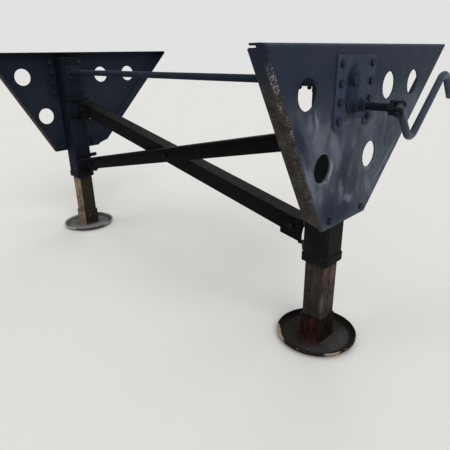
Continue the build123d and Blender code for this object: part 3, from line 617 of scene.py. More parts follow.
# Marks on the crank side plate: lower end (y, z), upper end (y, z), half width, tone, share
PLATE_MARKS = (
    (-0.256, -0.345, -0.336, -0.205, 0.030, "dark_and_shade", 0.95),
    (-0.232, -0.400, -0.268, -0.330, 0.026, "dark_and_shade", 0.55),
    (-0.150, -0.310, -0.120, -0.190, 0.022, "dark_and_shade", 0.60),
    (-0.176, -0.318, -0.160, -0.290, 0.014, "dark_and_shade", 0.60),
    (-0.058, -0.330, -0.086, -0.236, 0.022, "dark_and_shade", 0.60),
    (-0.040, -0.520, 0.014, -0.340, 0.046, "dark_and_shade", 0.85),
    (0.040, -0.520, 0.090, -0.440, 0.036, "dark_and_shade", 0.60),
    (-0.190, -0.570, 0.130, -0.595, 0.050, "dark_and_shade", 0.95),
    (-0.330, -0.090, -0.300, -0.160, 0.024, "dark_and_shade", 0.60),
    (0.040, -0.310, 0.120, -0.260, 0.030, "dark_and_shade", 0.35),
    (-0.196, -0.262, -0.216, -0.190, 0.008, "scuff", 0.70),
    (-0.170, -0.350, -0.206, -0.230, 0.036, "scuff", 0.35),
    (-0.156, -0.318, -0.136, -0.216, 0.016, "scuff", 0.32),
    (-0.050, -0.380, -0.124, -0.262, 0.030, "scuff", 0.38),
    (-0.205, -0.500, -0.250, -0.370, 0.032, "scuff", 0.45),
    (-0.140, -0.510, -0.196, -0.460, 0.030, "scuff", 0.24),
    (-0.060, -0.590, -0.120, -0.490, 0.056, "dark_and_shade", 0.85),
    (-0.010, -0.525, -0.036, -0.455, 0.016, "scuff", 0.40),
    (0.074, -0.549, 0.004, -0.532, 0.016, "scuff", 0.50),
    (0.228, -0.575, 0.160, -0.478, 0.024, "scuff", 0.30),
    (0.228, -0.520, 0.418, -0.364, 0.008, "scuff", 0.45),
    (-0.184, -0.566, -0.270, -0.352, 0.010, "scuff", 0.55),
    (0.150, -0.330, 0.120, -0.230, 0.044, "scuff", 0.20),
    (0.118, -0.520, 0.156, -0.420, 0.034, "flange", 0.35),
    (-0.118, -0.462, -0.094, -0.372, 0.008, "fleck", 0.35),
    (0.002, -0.520, 0.020, -0.450, 0.020, "dark_and_shade", 0.60),
    (-0.236, -0.262, -0.256, -0.205, 0.016, "scuff", 0.40),
)

# Pale rings round the low holes, wear and a painted highlight of their lit edges: y, z, share
HOLE_RINGS = ((-0.149, -0.396, 0.60), (0.178, -0.400, 0.25))


def plate_marks(f, outer, tones):
    """The marks and the pale rings on the outer face of the crank side plate, the rings worn and painted
    highlights.
    """
    outside = f.facing((1.0, 0.0, 0.0), 0.3, 0.8)
    place = f.shaken_place(24.0, 0.034)
    for y_low, z_low, y_high, z_high, half_width, tone, share in PLATE_MARKS:
        f.lay(tones[tone], f.streak(place, (y_low, z_low), (y_high, z_high), half_width), outside, share)
    for y, z, share in HOLE_RINGS:
        ring = f.band(f.shaken(f.from_point((outer, y, z)), 36.0, 0.016), 0.064, 0.052)
        rubbed = f.mix(0.4, tones["scuff"], tones["fleck"])
        f.lay(rubbed, ring, f.cloud(24.0, 0.42, 0.58, 5.0, 0.65), outside, share)


def wing_plate_paint(side, light):
    """Paint of a wing plate: painted shade along the top, soft scuffs and dark runs below, a brown front
    fold, the inboard face darker by dark paint and painted shade.
    """
    low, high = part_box(f"{side}_wing_plate")
    sign = SIDES[side]
    outer = high.x if sign > 0 else low.x
    f = Finish(f"{side}_wing_plate_paint")
    base, dark_and_shade, scuff = (paint_of(tone, light) for tone in ("plate", "plate_dark", "scuff"))
    tones = {"dark_and_shade": scaled(dark_and_shade, 0.9), "scuff": scuff}
    tones |= {name: paint_of(name) for name in ("flange", "fleck")}
    height = f.axis(2)
    f.colour = f.mix(f.cloud(5.0, 0.36, 0.64, 6.0, 0.62), scaled(base, 0.78), scaled(base, 1.22))
    f.lay(scaled(base, 1.45), f.cloud(38.0, 0.42, 0.7, 7.0, 0.7), 0.3)
    # cloudy rubbed places, tall soft runs and dark drips, all below the top
    below = f.band(height, -0.12, -0.24)
    f.lay(scaled(scuff, 0.8), f.cloud(9.0, 0.50, 0.66, 7.0, 0.66, twist=1.2), below, 0.38)
    f.lay(scuff, f.runs(24.0, 7.0, 0.52, 0.68, 6.0, 0.6, 0.8), below, 0.22)
    f.lay(dark_and_shade, f.runs(21.0, 7.0, 0.5, 0.66, 6.0, 0.62, 0.9, 3.1), below, 0.45)
    # painted shade along the top of the plate
    f.lay(dark_and_shade, f.band(f.shaken(height, 9.0, 0.05), -0.27, -0.10), 0.9)
    if sign > 0:
        plate_marks(f, outer, tones)
    # the inboard face darker: dark paint and painted shade
    f.lay(scaled(dark_and_shade, 0.6), f.facing((-sign, 0.0, 0.0), 0.3, 0.8), 0.85)
    specks = f.both(f.cloud(110.0, 0.62, 0.68, 6.0, 0.75), f.cloud(9.0, 0.5, 0.62, 3.0))
    f.lay(paint_of("rust", 0.7), specks, 0.6)
    f.lay(dark_and_shade, f.band(f.along(REAR_SLOPE, (0.0, high.y, 0.0)), -0.020, -0.010), 0.6)
    # front fold, brown, and pale flecks along its bend
    front = f.along(FRONT_SLOPE, (0.0, low.y, 0.0))
    inset = f.along((-sign, 0.0, 0.0), (outer, 0.0, 0.0))
    fold = f.either(f.band(inset, 0.006, 0.010), f.band(f.shaken(front, 30.0, 0.022), 0.020, 0.002))
    fold = f.both(fold, f.band(front, 0.05, 0.03))
    plain = f.colour
    f.colour = f.mix(f.cloud(20.0, 0.34, 0.66, 6.0, 0.68), paint_of("flange", 0.45), paint_of("flange", 1.15))
    f.lay(paint_of("rust", 0.8), f.cloud(60.0, 0.54, 0.68, 6.0, 0.72), 0.4)
    f.lay(paint_of("fleck", 0.45), f.cloud(90.0, 0.55, 0.66, 5.0, 0.75), f.band(height, -0.06, -0.2), 0.4)
    # painted shade along the top of the fold
    f.lay(scaled(dark_and_shade, 0.95), f.band(f.shaken(height, 12.0, 0.04), -0.17, -0.06), 0.9)
    f.colour = f.mix(fold, plain, f.colour)
    bend = f.both(f.band(front, 0.013, 0.008), f.band(inset, 0.020, 0.012))
    dense = f.both(f.cloud(230.0, 0.50, 0.58, 4.0, 0.75), f.cloud(30.0, 0.40, 0.54, 3.0))
    dense = f.both(dense, f.stripe(height, -0.34, -0.2, -0.09, -0.04))
    sparse = f.both(f.cloud(150.0, 0.60, 0.66, 4.0, 0.75), f.cloud(14.0, 0.48, 0.6, 3.0))
    flecks = f.both(bend, f.either(dense, sparse))
    f.lay(paint_of("fleck"), flecks, 0.85)
    roughness = f.span(f.either(f.both(f.noise(24.0, 5.0), 0.7), f.both(fold, 0.35)), 0.42, 0.88)
    reliefs = (
        (f.noise(380.0, 3.0), 0.10, 0.0006),
        (f.either(specks, flecks), 0.4, 0.0008),
        (f.noise(60.0, 5.0, 0.7), f.both(fold, 0.35), 0.002),
        (f.noise(9.0, 2.0), 0.16, 0.006),
    )
    return f.finish(roughness, 0.0015, reliefs, specular=0.1)


def tube_steel(name, base, worn, pink, shaded=0.0):
    """Bare sliding tube: dark brown scale, rubbed pinkish patches on its outer side that also paint light on
    it, drag marks and grease.

    Shaded is the share of painted shade, in the foot's dark brown, on the faces that do not look forwards.
    """
    f = Finish(name)
    height = f.axis(2)
    f.colour = f.mix(f.cloud(16.0, 0.32, 0.7, 7.0, 0.68), scaled(base, 0.4), scaled(base, 1.2))
    f.lay(scaled(base, 0.25), f.cloud(44.0, 0.48, 0.64, 6.0, 0.7), 0.65)
    # the faces looking along +X made lighter by worn and pinkish steel: wear and painted light
    outboard = f.facing((1.0, 0.0, 0.0), 0.2, 0.8)
    f.lay(worn, f.runs(44.0, 14.0, 0.46, 0.64, 7.0, 0.68), f.span(outboard, 0.25, 0.75))
    upper = f.band(f.shaken(height, 18.0, 0.08), GROUND + 0.20, GROUND + 0.32)
    pinkish = f.mix(f.noise(70.0, 5.0), scaled(pink, 0.6), scaled(pink, 1.3))
    f.lay(pinkish, upper, f.runs(38.0, 20.0, 0.38, 0.60, 7.0, 0.7), f.span(outboard, 0.2, 0.85))
    f.lay(scaled(worn, 1.3), f.runs(150.0, 11.0, 0.6, 0.72), 0.3)
    rust = f.both(f.cloud(48.0, 0.5, 0.66, 6.0, 0.7), f.cloud(10.0, 0.45, 0.6, 3.0))
    f.lay(f.mix(f.noise(80.0), paint_of("rust", 0.4), paint_of("rust")), rust, 0.5)
    f.lay(scaled(worn, 1.4), f.edges(0.006), f.cloud(30.0, 0.4, 0.62, 5.0, 0.65), 0.55)
    # the front outer corner rubbed bare over the foot
    low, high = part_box("left_inner_tube")
    patch = f.shaken(f.from_point((high.x - 0.003, low.y, GROUND + 0.182), (1.8, 1.8, 0.38)), 70.0, 0.030)
    f.lay(scaled(worn, 1.9), f.band(patch, 0.026, 0.008), 0.5)
    # painted shade, in the foot's brown, on the faces that do not look forwards
    if shaded:
        shade_tone = f.mix(f.noise(24.0, 5.0), paint_of("foot", 0.4), paint_of("foot"))
        f.lay(shade_tone, f.facing((0.0, -1.0, 0.0), 0.8, 0.3), shaded)
    grease = f.both(f.band(f.shaken(height, 40.0, 0.04), GROUND + 0.335, GROUND + 0.366), 0.85)
    mud = f.both(f.band(f.shaken(height, 20.0, 0.06), GROUND + 0.22, GROUND + 0.12), 0.35)
    f.lay(GREASE, f.either(grease, mud))
    reliefs = (
        (f.noise(240.0, 5.0, 0.65), 0.25, 0.001),
        (rust, 0.4, 0.0009),
        (f.noise(46.0, 5.0, 0.7), 0.2, 0.0016),
    )
    return f.finish(f.span(f.noise(35.0, 5.0), 0.5, 0.92), 0.0012, reliefs, metallic=0.1, specular=0.12)


def foot_steel(side, base, film, rust, rim_tone, rim_stretches):
    """Foot steel: mud film on the lit side of the dish floor with the rest painted shade, dark rust by the
    socket, pale stretches of rim that are worn and painted highlights.

    A stretch of rim is its middle and half its width in degrees, its reach inwards and its share.
    """
    sign = SIDES[side]
    f = Finish(f"{side}_foot_steel")
    low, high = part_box(f"{side}_foot_dish")
    middle, reach = (low + high) / 2, (high.x - low.x) / 2
    height = f.along((0.0, 0.0, 1.0), (0.0, 0.0, GROUND))
    out = f.from_point((middle.x, middle.y, 0.0), (1.0, 1.0, 0.0))
    outboard = f.along((sign, 0.0, 0.0), (middle.x, 0.0, 0.0))
    by_socket = f.band(out, 0.105, 0.095)
    f.colour = f.mix(f.cloud(12.0, 0.3, 0.72, 6.0, 0.65), scaled(base, 0.35), scaled(base, 0.8))
    # the film is laid on the lit side only; the darker rest of the floor is painted shade
    floor = f.both(f.band(out, reach - 0.020, reach - 0.034), f.band(height, 0.016, 0.011))
    lit = f.band(f.shaken(f.along((0.95, -0.31, 0.0), (middle.x, middle.y, 0.0)), 10.0, 0.04), 0.00, 0.09)
    mud = f.mix(f.cloud(22.0, 0.3, 0.75, 6.0, 0.6), scaled(film, 0.88), scaled(film, 1.08))
    f.lay(mud, floor, f.span(lit, 0.05, 0.95))
    f.lay(scaled(base, 0.4), f.band(out, 0.092, 0.080), f.band(height, 0.0085, 0.012), 0.5)
    # on the other foot the socket's inboard face is painted shade and its front tan painted sunlight
    if sign < 0:
        shaded_socket_side = f.both(by_socket, f.band(outboard, -0.068, -0.062))
        f.lay(paint_of("foot", 0.7), f.facing((1.0, 0.0, 0.0), 0.3, 0.8), shaded_socket_side, 0.9)
        tan = f.mix(f.noise(30.0, 5.0), paint_of("tube_tan", 0.6), paint_of("tube_tan"))
        f.lay(tan, f.facing((0.0, -1.0, 0.0), 0.3, 0.8), by_socket, 0.8)
    # rust that blooms on the front of the socket, weaker on the floor
    near = f.from_point((middle.x + sign * 0.008, -0.066, GROUND + 0.030), (0.85, 2.6, 0.42))
    upright = f.band(height, 0.009, 0.026)
    bloom = f.band(f.shaken(near, 22.0, 0.05), 0.064, 0.040)
    ember = f.mix(f.runs(60.0, 16.0, 0.40, 0.66, 5.0), srgb(25, 14, 11), srgb(70, 33, 22))
    ember = f.mix(f.both(f.cloud(110.0, 0.48, 0.62, 5.0, 0.7), 0.6), ember, srgb(34, 15, 11))
    halo = f.band(f.shaken(near, 30.0, 0.05), 0.100, 0.060)
    f.lay(srgb(22, 16, 14), halo, f.span(upright, 0.35, 1.0), 0.6 * rust)
    f.lay(ember, bloom, f.span(upright, 0.55, 1.0), 0.9 * rust)
    specks = f.cloud(64.0, 0.57, 0.66, 6.0, 0.75)
    f.lay(paint_of("rust", 0.6), specks, 0.3 * rust + 0.12)
    # rusty outer wall, painted shade in the hollow inside it, pale stretches on the lip that are worn and
    # painted highlights
    wall = f.mix(f.noise(50.0), paint_of("rust", 0.35), paint_of("flange", 0.9))
    f.lay(wall, f.band(out, reach - 0.010, reach - 0.002), f.cloud(26.0, 0.35, 0.6, 6.0, 0.7), 0.7)
    f.lay(scaled(base, 0.30), f.band(out, reach - 0.040, reach - 0.026), f.band(height, 0.0225, 0.0195), 0.92)
    lip = f.both(f.band(height, 0.0205, 0.0235), f.band(out, reach - 0.0085, reach - 0.0055))
    bright = f.both(lip, f.cloud(40.0, 0.5, 0.62), 0.35)
    for degrees, width, inwards, share in rim_stretches:
        rubbed = f.band(height, 0.018 - inwards, 0.020 - inwards / 2)
        rubbed = f.both(rubbed, f.band(out, reach - inwards - 0.004, reach - inwards))
        toward = (math.cos(math.radians(degrees)), math.sin(math.radians(degrees)), 0.0)
        ahead = f.shaken(f.along(toward, (middle.x, middle.y, 0.0)), 40.0, 0.006)
        reached = math.cos(math.radians(width))
        stretch = f.band(f.result("DIVIDE", ahead, out), reached - 0.012, reached + 0.012)
        bright = f.either(bright, f.both(rubbed, stretch, share))
    f.lay(rim_tone, bright)
    # pale outboard edge of the plate under the socket, dark pin
    edge = f.both(f.edges(0.003, 0.99, 0.9), f.band(outboard, 0.058, 0.062))
    f.lay(rim_tone, edge, by_socket, f.band(height, 0.020, 0.016), 0.6)
    pin_low, pin_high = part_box(f"{side}_foot_pin")
    pin = f.band(f.from_point((pin_low + pin_high) / 2, (0.0, 1.0, 1.0)), 0.022, 0.018)
    f.lay(scaled(base, 0.25), pin, f.band(outboard, 0.050, 0.056), 0.8)
    roughness = f.span(f.either(f.both(f.noise(30.0, 5.0), 0.8), f.both(bloom, 0.3)), 0.45, 0.92)
    reliefs = (
        (f.noise(190.0, 5.0, 0.65), 0.3, 0.001),
        (specks, 0.4, 0.001),
        (f.noise(18.0, 3.0), 0.25, 0.004),
    )
    return f.finish(roughness, 0.0012, reliefs, metallic=0.05, specular=0.05)


def crank_steel(name, base, wear_and_light_share, rusted, gloss):
    """Dark steel with a blue grey sheen: hand worn stretches, darker at the joint with a little rust, one
    side painted shade and the other painted highlight.
    """
    f = Finish(name)
    f.colour = f.mix(f.cloud(14.0, 0.3, 0.7, 5.0), scaled(base, 0.75), scaled(base, 1.25))
    joint = f.band(f.from_point(FORK_PLACE), 0.16, 0.08)
    away = f.result("SUBTRACT", 1.0, joint)
    f.lay(paint_of("scuff", 0.7), f.cloud(20.0, 0.44, 0.64, 6.0, 0.65), away, wear_and_light_share)
    # painted shade on the side facing away from the fork's drop, painted highlight on the side facing it
    shaded_side, highlit_side = -FORK_DROP - 0.2 * ACROSS, FORK_DROP + 0.25 * ACROSS
    f.lay(scaled(base, 0.3), f.facing(shaded_side, 0.0, 0.7), 3.4 * wear_and_light_share)
    f.lay(paint_of("scuff", 0.9), f.facing(highlit_side, 0.1, 0.8), 2.4 * wear_and_light_share)
    f.lay(scaled(base, 0.45), joint, 0.55)
    places = f.either(f.both(joint, 0.3), f.both(f.cloud(7.0, 0.54, 0.64), rusted))
    rust = f.both(f.cloud(60.0, 0.52, 0.66, 6.0, 0.72), places)
    f.lay(f.mix(f.noise(90.0), paint_of("rust", 0.25), paint_of("rust", 0.6)), rust)
    f.lay(paint_of("scuff", 0.4), f.edges(0.002), 0.3)
    rough = f.either(f.noise(28.0, 5.0), f.both(rust, 0.5))
    roughness = f.span(rough, 0.65 - 0.4 * gloss, 0.95 - 0.4 * gloss)
    reliefs = ((f.noise(300.0, 4.0), 0.15, 0.0006), (rust, 0.35, 0.0008))
    return f.finish(roughness, 0.001, reliefs, metallic=0.4 * gloss, specular=0.08 + 0.3 * gloss)


def dress(finish, *names):
    """Gives a finish to CAD nodes through their objects' material slots."""
    for name in names:
        node = NODES[name]
        if not node.material_slots:
            node.data.materials.append(finish)
        for material_slot in node.material_slots:
            material_slot.material = finish


def pair(name):
    """A node's names on both sides."""
    return [f"{side}_{name}" for side in SIDES]


# Operators


class LANDINGGEAR_OT_stage(bpy.types.Operator):
    """Set the floor, the backdrop, the lamps and the camera"""

    bl_idname = "landing_gear.stage"
    bl_label = "Stage"

    # name of each lamp, the place it shines from, and the setting of its strength
    lamps = (
        ("key_lamp", (3.5, -1.4, 2.9), "key_level"),
        ("fill_lamp", (-2.4, -3.4, 2.4), "fill_level"),
        ("back_lamp", (-1.6, 3.2, 2.2), "fill_level"),
        ("top_lamp", (0.1, 0.6, 4.0), "top_level"),
    )

    def execute(self, context):
        stage = context.scene.landing_gear_stage
        floor = self.floor(stage)
        self.air(context.scene, stage)
        for name, place, level in self.lamps:
            self.lamp(name, place, getattr(stage, level), stage.lamp_spread)
        self.camera(context.scene, stage)
        context.scene.view_settings.view_transform = "Standard"
        return {"FINISHED"}

    @staticmethod
    def floor(stage):
        """Wide flat floor just under the feet: a disc of rings whose heights are all the same."""
        turn = full_turn(96)
        rings = np.array((0.02, 1.0, 3.0, 9.0, 27.0))
        grid = rings[:, None, None] * np.stack((np.cos(turn), np.sin(turn), 0 * turn), axis=-1)[None]
        grid[..., 2] = GROUND - 0.0004
        index, quads = ring_quads(*grid.shape[:2])
        mesh = bpy.data.meshes.new("studio_floor")
        mesh.from_pydata(grid.reshape(-1, 3).tolist(), [], quads.tolist() + [index[0].tolist()])
        material = bpy.data.materials.new("studio_floor")
        material.use_nodes = True
        shader = material.node_tree.nodes["Principled BSDF"]
        shader.inputs["Base Color"].default_value = (*stage.floor_colour, 1.0)
        shader.inputs["Roughness"].default_value = 1.0
        shader.inputs["Specular IOR Level"].default_value = 0.0
        mesh.materials.append(material)
        floor = bpy.data.objects.new("studio_floor", mesh)
        bpy.context.scene.collection.objects.link(floor)
        return floor

    @staticmethod
    def air(scene, stage):
        """Even light from all round, and the backdrop's colour in the camera's view and in reflections."""
        world = bpy.data.worlds.new("studio_air")
        scene.world = world
        world.use_nodes = True
        nodes, links = world.node_tree.nodes, world.node_tree.links
        even, seen = nodes["Background"], nodes.new("ShaderNodeBackground")
        even.inputs["Color"].default_value = (0.93, 0.96, 1.0, 1.0)
        even.inputs["Strength"].default_value = stage.air_level
        seen.inputs["Color"].default_value = (*stage.backdrop_colour, 1.0)
        seen.inputs["Strength"].default_value = 1.0
        path, either = nodes.new("ShaderNodeLightPath"), nodes.new("ShaderNodeMath")
        either.operation = "MAXIMUM"
        links.new(path.outputs["Is Camera Ray"], either.inputs[0])
        links.new(path.outputs["Is Glossy Ray"], either.inputs[1])
        choice = nodes.new("ShaderNodeMixShader")
        for number, node in enumerate((either, even, seen)):
            links.new(node.outputs[0], choice.inputs[number])
        links.new(choice.outputs[0], nodes["World Output"].inputs["Surface"])

    @staticmethod
    def lamp(name, place, level, spread):
        """A wide soft lamp so far off that it lights the whole floor evenly, in the direction of a place."""
        data = bpy.data.lights.new(name, "SUN")
        data.angle = spread
        data.energy = level
        lamp = bpy.data.objects.new(name, data)
        aim = (-Vector(place)).to_track_quat("-Z", "Y")
        lamp.matrix_world = Matrix.Translation(place) @ aim.to_matrix().to_4x4()
        bpy.context.scene.collection.objects.link(lamp)

    @staticmethod
    def camera(scene, stage):
        """Camera turned about Z by its heading, tipped down by its pitch and leaned by its roll."""
        data = bpy.data.cameras.new("camera")
        data.lens = stage.lens
        data.sensor_width = 36.0
        data.clip_end = 200.0
        camera = bpy.data.objects.new("camera", data)
        heading = Matrix.Rotation(stage.camera_heading, 4, "Z")
        pitch = Matrix.Rotation(math.pi / 2 - stage.camera_pitch, 4, "X")
        roll = Matrix.Rotation(stage.camera_roll, 4, "Z")
        camera.matrix_world = Matrix.Translation(stage.camera_place) @ heading @ pitch @ roll
        scene.collection.objects.link(camera)
        scene.camera = camera


class LANDINGGEAR_OT_wing_plates(bpy.types.Operator):
    """Finish the two wing plates and the flanges behind them"""

    bl_idname = "landing_gear.wing_plates"
    bl_label = "Wing plates"

    def execute(self, context):
        dress(wing_plate_paint("left", 1.0), "left_wing_plate")
        # the other plate's paint is the same one made darker by 0.9, as painted shade
        dress(wing_plate_paint("right", 0.9), "right_wing_plate")
        dress(painted_steel("flange_paint", paint_of("plate_dark", 0.7), 0.4, 0.4), *pair("mounting_flange"))
        return {"FINISHED"}


class LANDINGGEAR_OT_gearbox(bpy.types.Operator):
    """Finish the gearbox cover and its plate"""

    bl_idname = "landing_gear.gearbox"
    bl_label = "Gearbox"

    def execute(self, context):
        paint = painted_steel("gearbox_paint", paint_of("gearbox"), 0.35, 0.3, 0.12, 0.14, "gearbox_cover")
        dress(paint, "gearbox_cover", "gearbox_plate")
        return {"FINISHED"}


class LANDINGGEAR_OT_crank(bpy.types.Operator):
    """Finish the crank shaft, and make the handle"""

    bl_idname = "landing_gear.crank"
    bl_label = "Crank"

    def execute(self, context):
        dress(crank_steel("crank_shaft_steel", paint_of("crank", 0.42), 0.06, 0.15, 0.1), "crank_shaft")
        self.handle(crank_steel("crank_handle_steel", paint_of("crank", 1.9), 0.25, 0.1, 0.8))
        return {"FINISHED"}

    @staticmethod
    def handle(finish):
        """Bent bar: a superellipse carried along the path, from the flat tongue to the round grip.

        Its half width follows a circle at the tongue's end and then narrows to the bar. Its half thickness
        and its power go from the tongue's to the bar's along a smooth step. At the grip's end both halves
        narrow by a quarter, along a quarter of an ellipse.
        """
        low_corner = FORK_PLACE + HANDLE_ARM * FORK_DROP
        high_corner = low_corner + HANDLE_RUN * FORK_LINE
        ends = FORK_PLACE - TONGUE_END * FORK_DROP, high_corner + HANDLE_GRIP * FORK_DROP
        path = bent_path([ends[0], low_corner, high_corner, ends[1]], HANDLE_BEND)
        length = running_length(path)
        stretches = (0.0, 0.004, 8), (0.006, 0.064, 30), (0.07, length[-1], 150)
        fine = np.concatenate([np.linspace(*stretch) for stretch in stretches])
        fine[-6:] = length[-1] - 0.003 * np.linspace(1.0, 0.0, 6) ** 2
        centre = read_off(fine, length, path)
        along = unit_rows(np.gradient(centre, fine, axis=0))
        past = fine - TONGUE_END
        step = np.clip((past - 0.012) / 0.036, 0.0, 1.0)
        step = (step * step * (3 - 2 * step))[:, None]
        round_end = np.sqrt(np.clip(TONGUE_RADIUS**2 - np.minimum(past, 0.0) ** 2, 1e-8, None))[:, None]
        rim = np.clip((fine - length[-1] + 0.003) / 0.003, 0.0, 0.999)[:, None]
        rim = 0.75 + 0.25 * np.sqrt(1.0 - rim**2)
        half_width = (round_end * (1 - step) + BAR_HALF * step) * rim
        half_thick = (TONGUE_HALF * (1 - step) + BAR_HALF * step) * rim
        power = 2.0 / (7.0 * (1 - step) + 2.0 * step)
        turn = full_turn(40)[None, :]
        wide = half_width * np.sign(np.cos(turn)) * np.abs(np.cos(turn)) ** power
        thick = half_thick * np.sign(np.sin(turn)) * np.abs(np.sin(turn)) ** power
        outward = np.cross(along, ACROSS)
        grid = centre[:, None, :] + wide[..., None] * ACROSS + thick[..., None] * outward[:, None, :]
        node = "crank_handle"
        surface(f"{node}_bar", [skin(grid, caps=True)], finish, "handle", "crank_paint", (node,))


class LANDINGGEAR_OT_legs(bpy.types.Operator):
    """Finish the outer tubes, caps, collars and sliding tubes"""

    bl_idname = "landing_gear.legs"
    bl_label = "Legs"

    def execute(self, context):
        black = painted_steel("leg_paint", paint_of("frame", 1.2), 0.35, 0.3, 0.45, 0.06)
        dress(black, "left_outer_tube", *pair("leg_cap"), *pair("tube_collar"))
        # the blue tint of this paint is painted skylight
        blue = painted_steel("right_leg_paint", paint_of("plate_dark", 0.45), 0.3, 0.3, 0.45, 0.06)
        dress(blue, "right_outer_tube")
        tube, worn, pink, tan = (paint_of(name) for name in ("tube", "tube_worn", "tube_pink", "tube_tan"))
        dress(tube_steel("left_tube_steel", tube, worn, pink), "left_inner_tube")
        # the other sliding tube: tan front as painted sunlight, its other faces darkened as painted shade
        dark, light = scaled(tan, 0.8), scaled(tan, 1.1)
        dress(tube_steel("right_tube_steel", dark, tan, light, 0.95), "right_inner_tube")
        return {"FINISHED"}


class LANDINGGEAR_OT_feet(bpy.types.Operator):
    """Finish the feet: dishes, sockets and pins"""

    bl_idname = "landing_gear.feet"
    bl_label = "Feet"

    # middle, half width, reach inwards and share of each foot's pale stretches of rim, worn and painted
    # highlights
    rubbed = {
        "left": ((-132.0, 21.0, 0.011, 0.95), (-133.0, 14.0, 0.017, 0.85), (-34.0, 9.0, 0.006, 0.85)),
        "right": ((-120.0, 60.0, 0.008, 0.7), (60.0, 50.0, 0.008, 0.5)),
    }

    def execute(self, context):
        base, film, plain = (paint_of(name) for name in ("foot", "foot_film", "foot_plain"))
        # the last colour of each look is the tone of the pale stretches of rim, worn and painted highlights
        looks = {
            "left": (base, film, 1.0, srgb(150, 134, 116)),
            "right": (plain, scaled(plain, 1.3), 0.2, srgb(176, 170, 163)),
        }
        for side, look in looks.items():
            finish = foot_steel(side, *look, self.rubbed[side])
            dress(finish, f"{side}_foot_socket", f"{side}_foot_pin")
            self.dish(side, finish)
        return {"FINISHED"}

    @staticmethod
    def dish(side, finish):
        """Pressed dish: a flat floor, a wall that rises along a quarter of a wave, and a half round lip."""
        low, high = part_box(f"{side}_foot_dish")
        reach, rim = (high.x - low.x) / 2, high.z - GROUND
        rise = np.linspace(0.0, 1.0, 22) * math.pi / 2
        under = (DISH_FLOOR + (reach - DISH_FLOOR) * np.sin(rise), (rim - DISH_LIP) * (1 - np.cos(rise)))
        under = np.stack(under, axis=1)
        run = unit_rows(np.gradient(under, axis=0))
        over = under + DISH_WALL * np.stack((-run[:, 1], run[:, 0]), axis=1)
        half = np.linspace(0.0, math.pi, 10)[1:-1, None]
        lip_middle, lip_half = (under[-1] + over[-1]) / 2, (under[-1] - over[-1]) / 2
        lip = lip_middle + lip_half * np.cos(half) + np.array((0.0, DISH_WALL / 2)) * np.sin(half)
        lip[:, 1] = np.minimum(lip[:, 1], rim)
        profile = np.vstack(((0.02, 0.0), under, lip, over[::-1], (0.02, DISH_WALL)))
        profile[:, 1] += GROUND
        grid = turned_dish(profile, (low + high) / 2, (0.12, 0.0014), 5 if side == "left" else 8)
        node = f"{side}_foot_dish"
        surface(f"{side}_foot_pressing", [skin(grid, caps=True)], finish, "stand", FOOT_SLOTS[side], (node,))


class LANDINGGEAR_OT_braces(bpy.types.Operator):
    """Finish the cross braces and their brackets"""

    bl_idname = "landing_gear.braces"
    bl_label = "Braces"

    def execute(self, context):
        black = painted_steel("brace_paint", paint_of("frame", 0.7), 0.1, 0.2, 0.3, 0.05)
        dress(black, "front_brace", "rear_brace", *pair("upper_bracket"), *pair("lower_bracket"))
        return {"FINISHED"}


class LANDINGGEAR_OT_cross_shaft(bpy.types.Operator):
    """Finish the cross shaft, its couplings and bearings"""

    bl_idname = "landing_gear.cross_shaft"
    bl_label = "Cross shaft"

    def execute(self, context):
        steel = painted_steel("shaft_paint", paint_of("plate_dark", 0.7), 0.3, 0.4, 0.4)
        dress(steel, "cross_shaft", *pair("shaft_coupling"), *pair("output_stub"), *pair("shaft_bearing"))
        return {"FINISHED"}


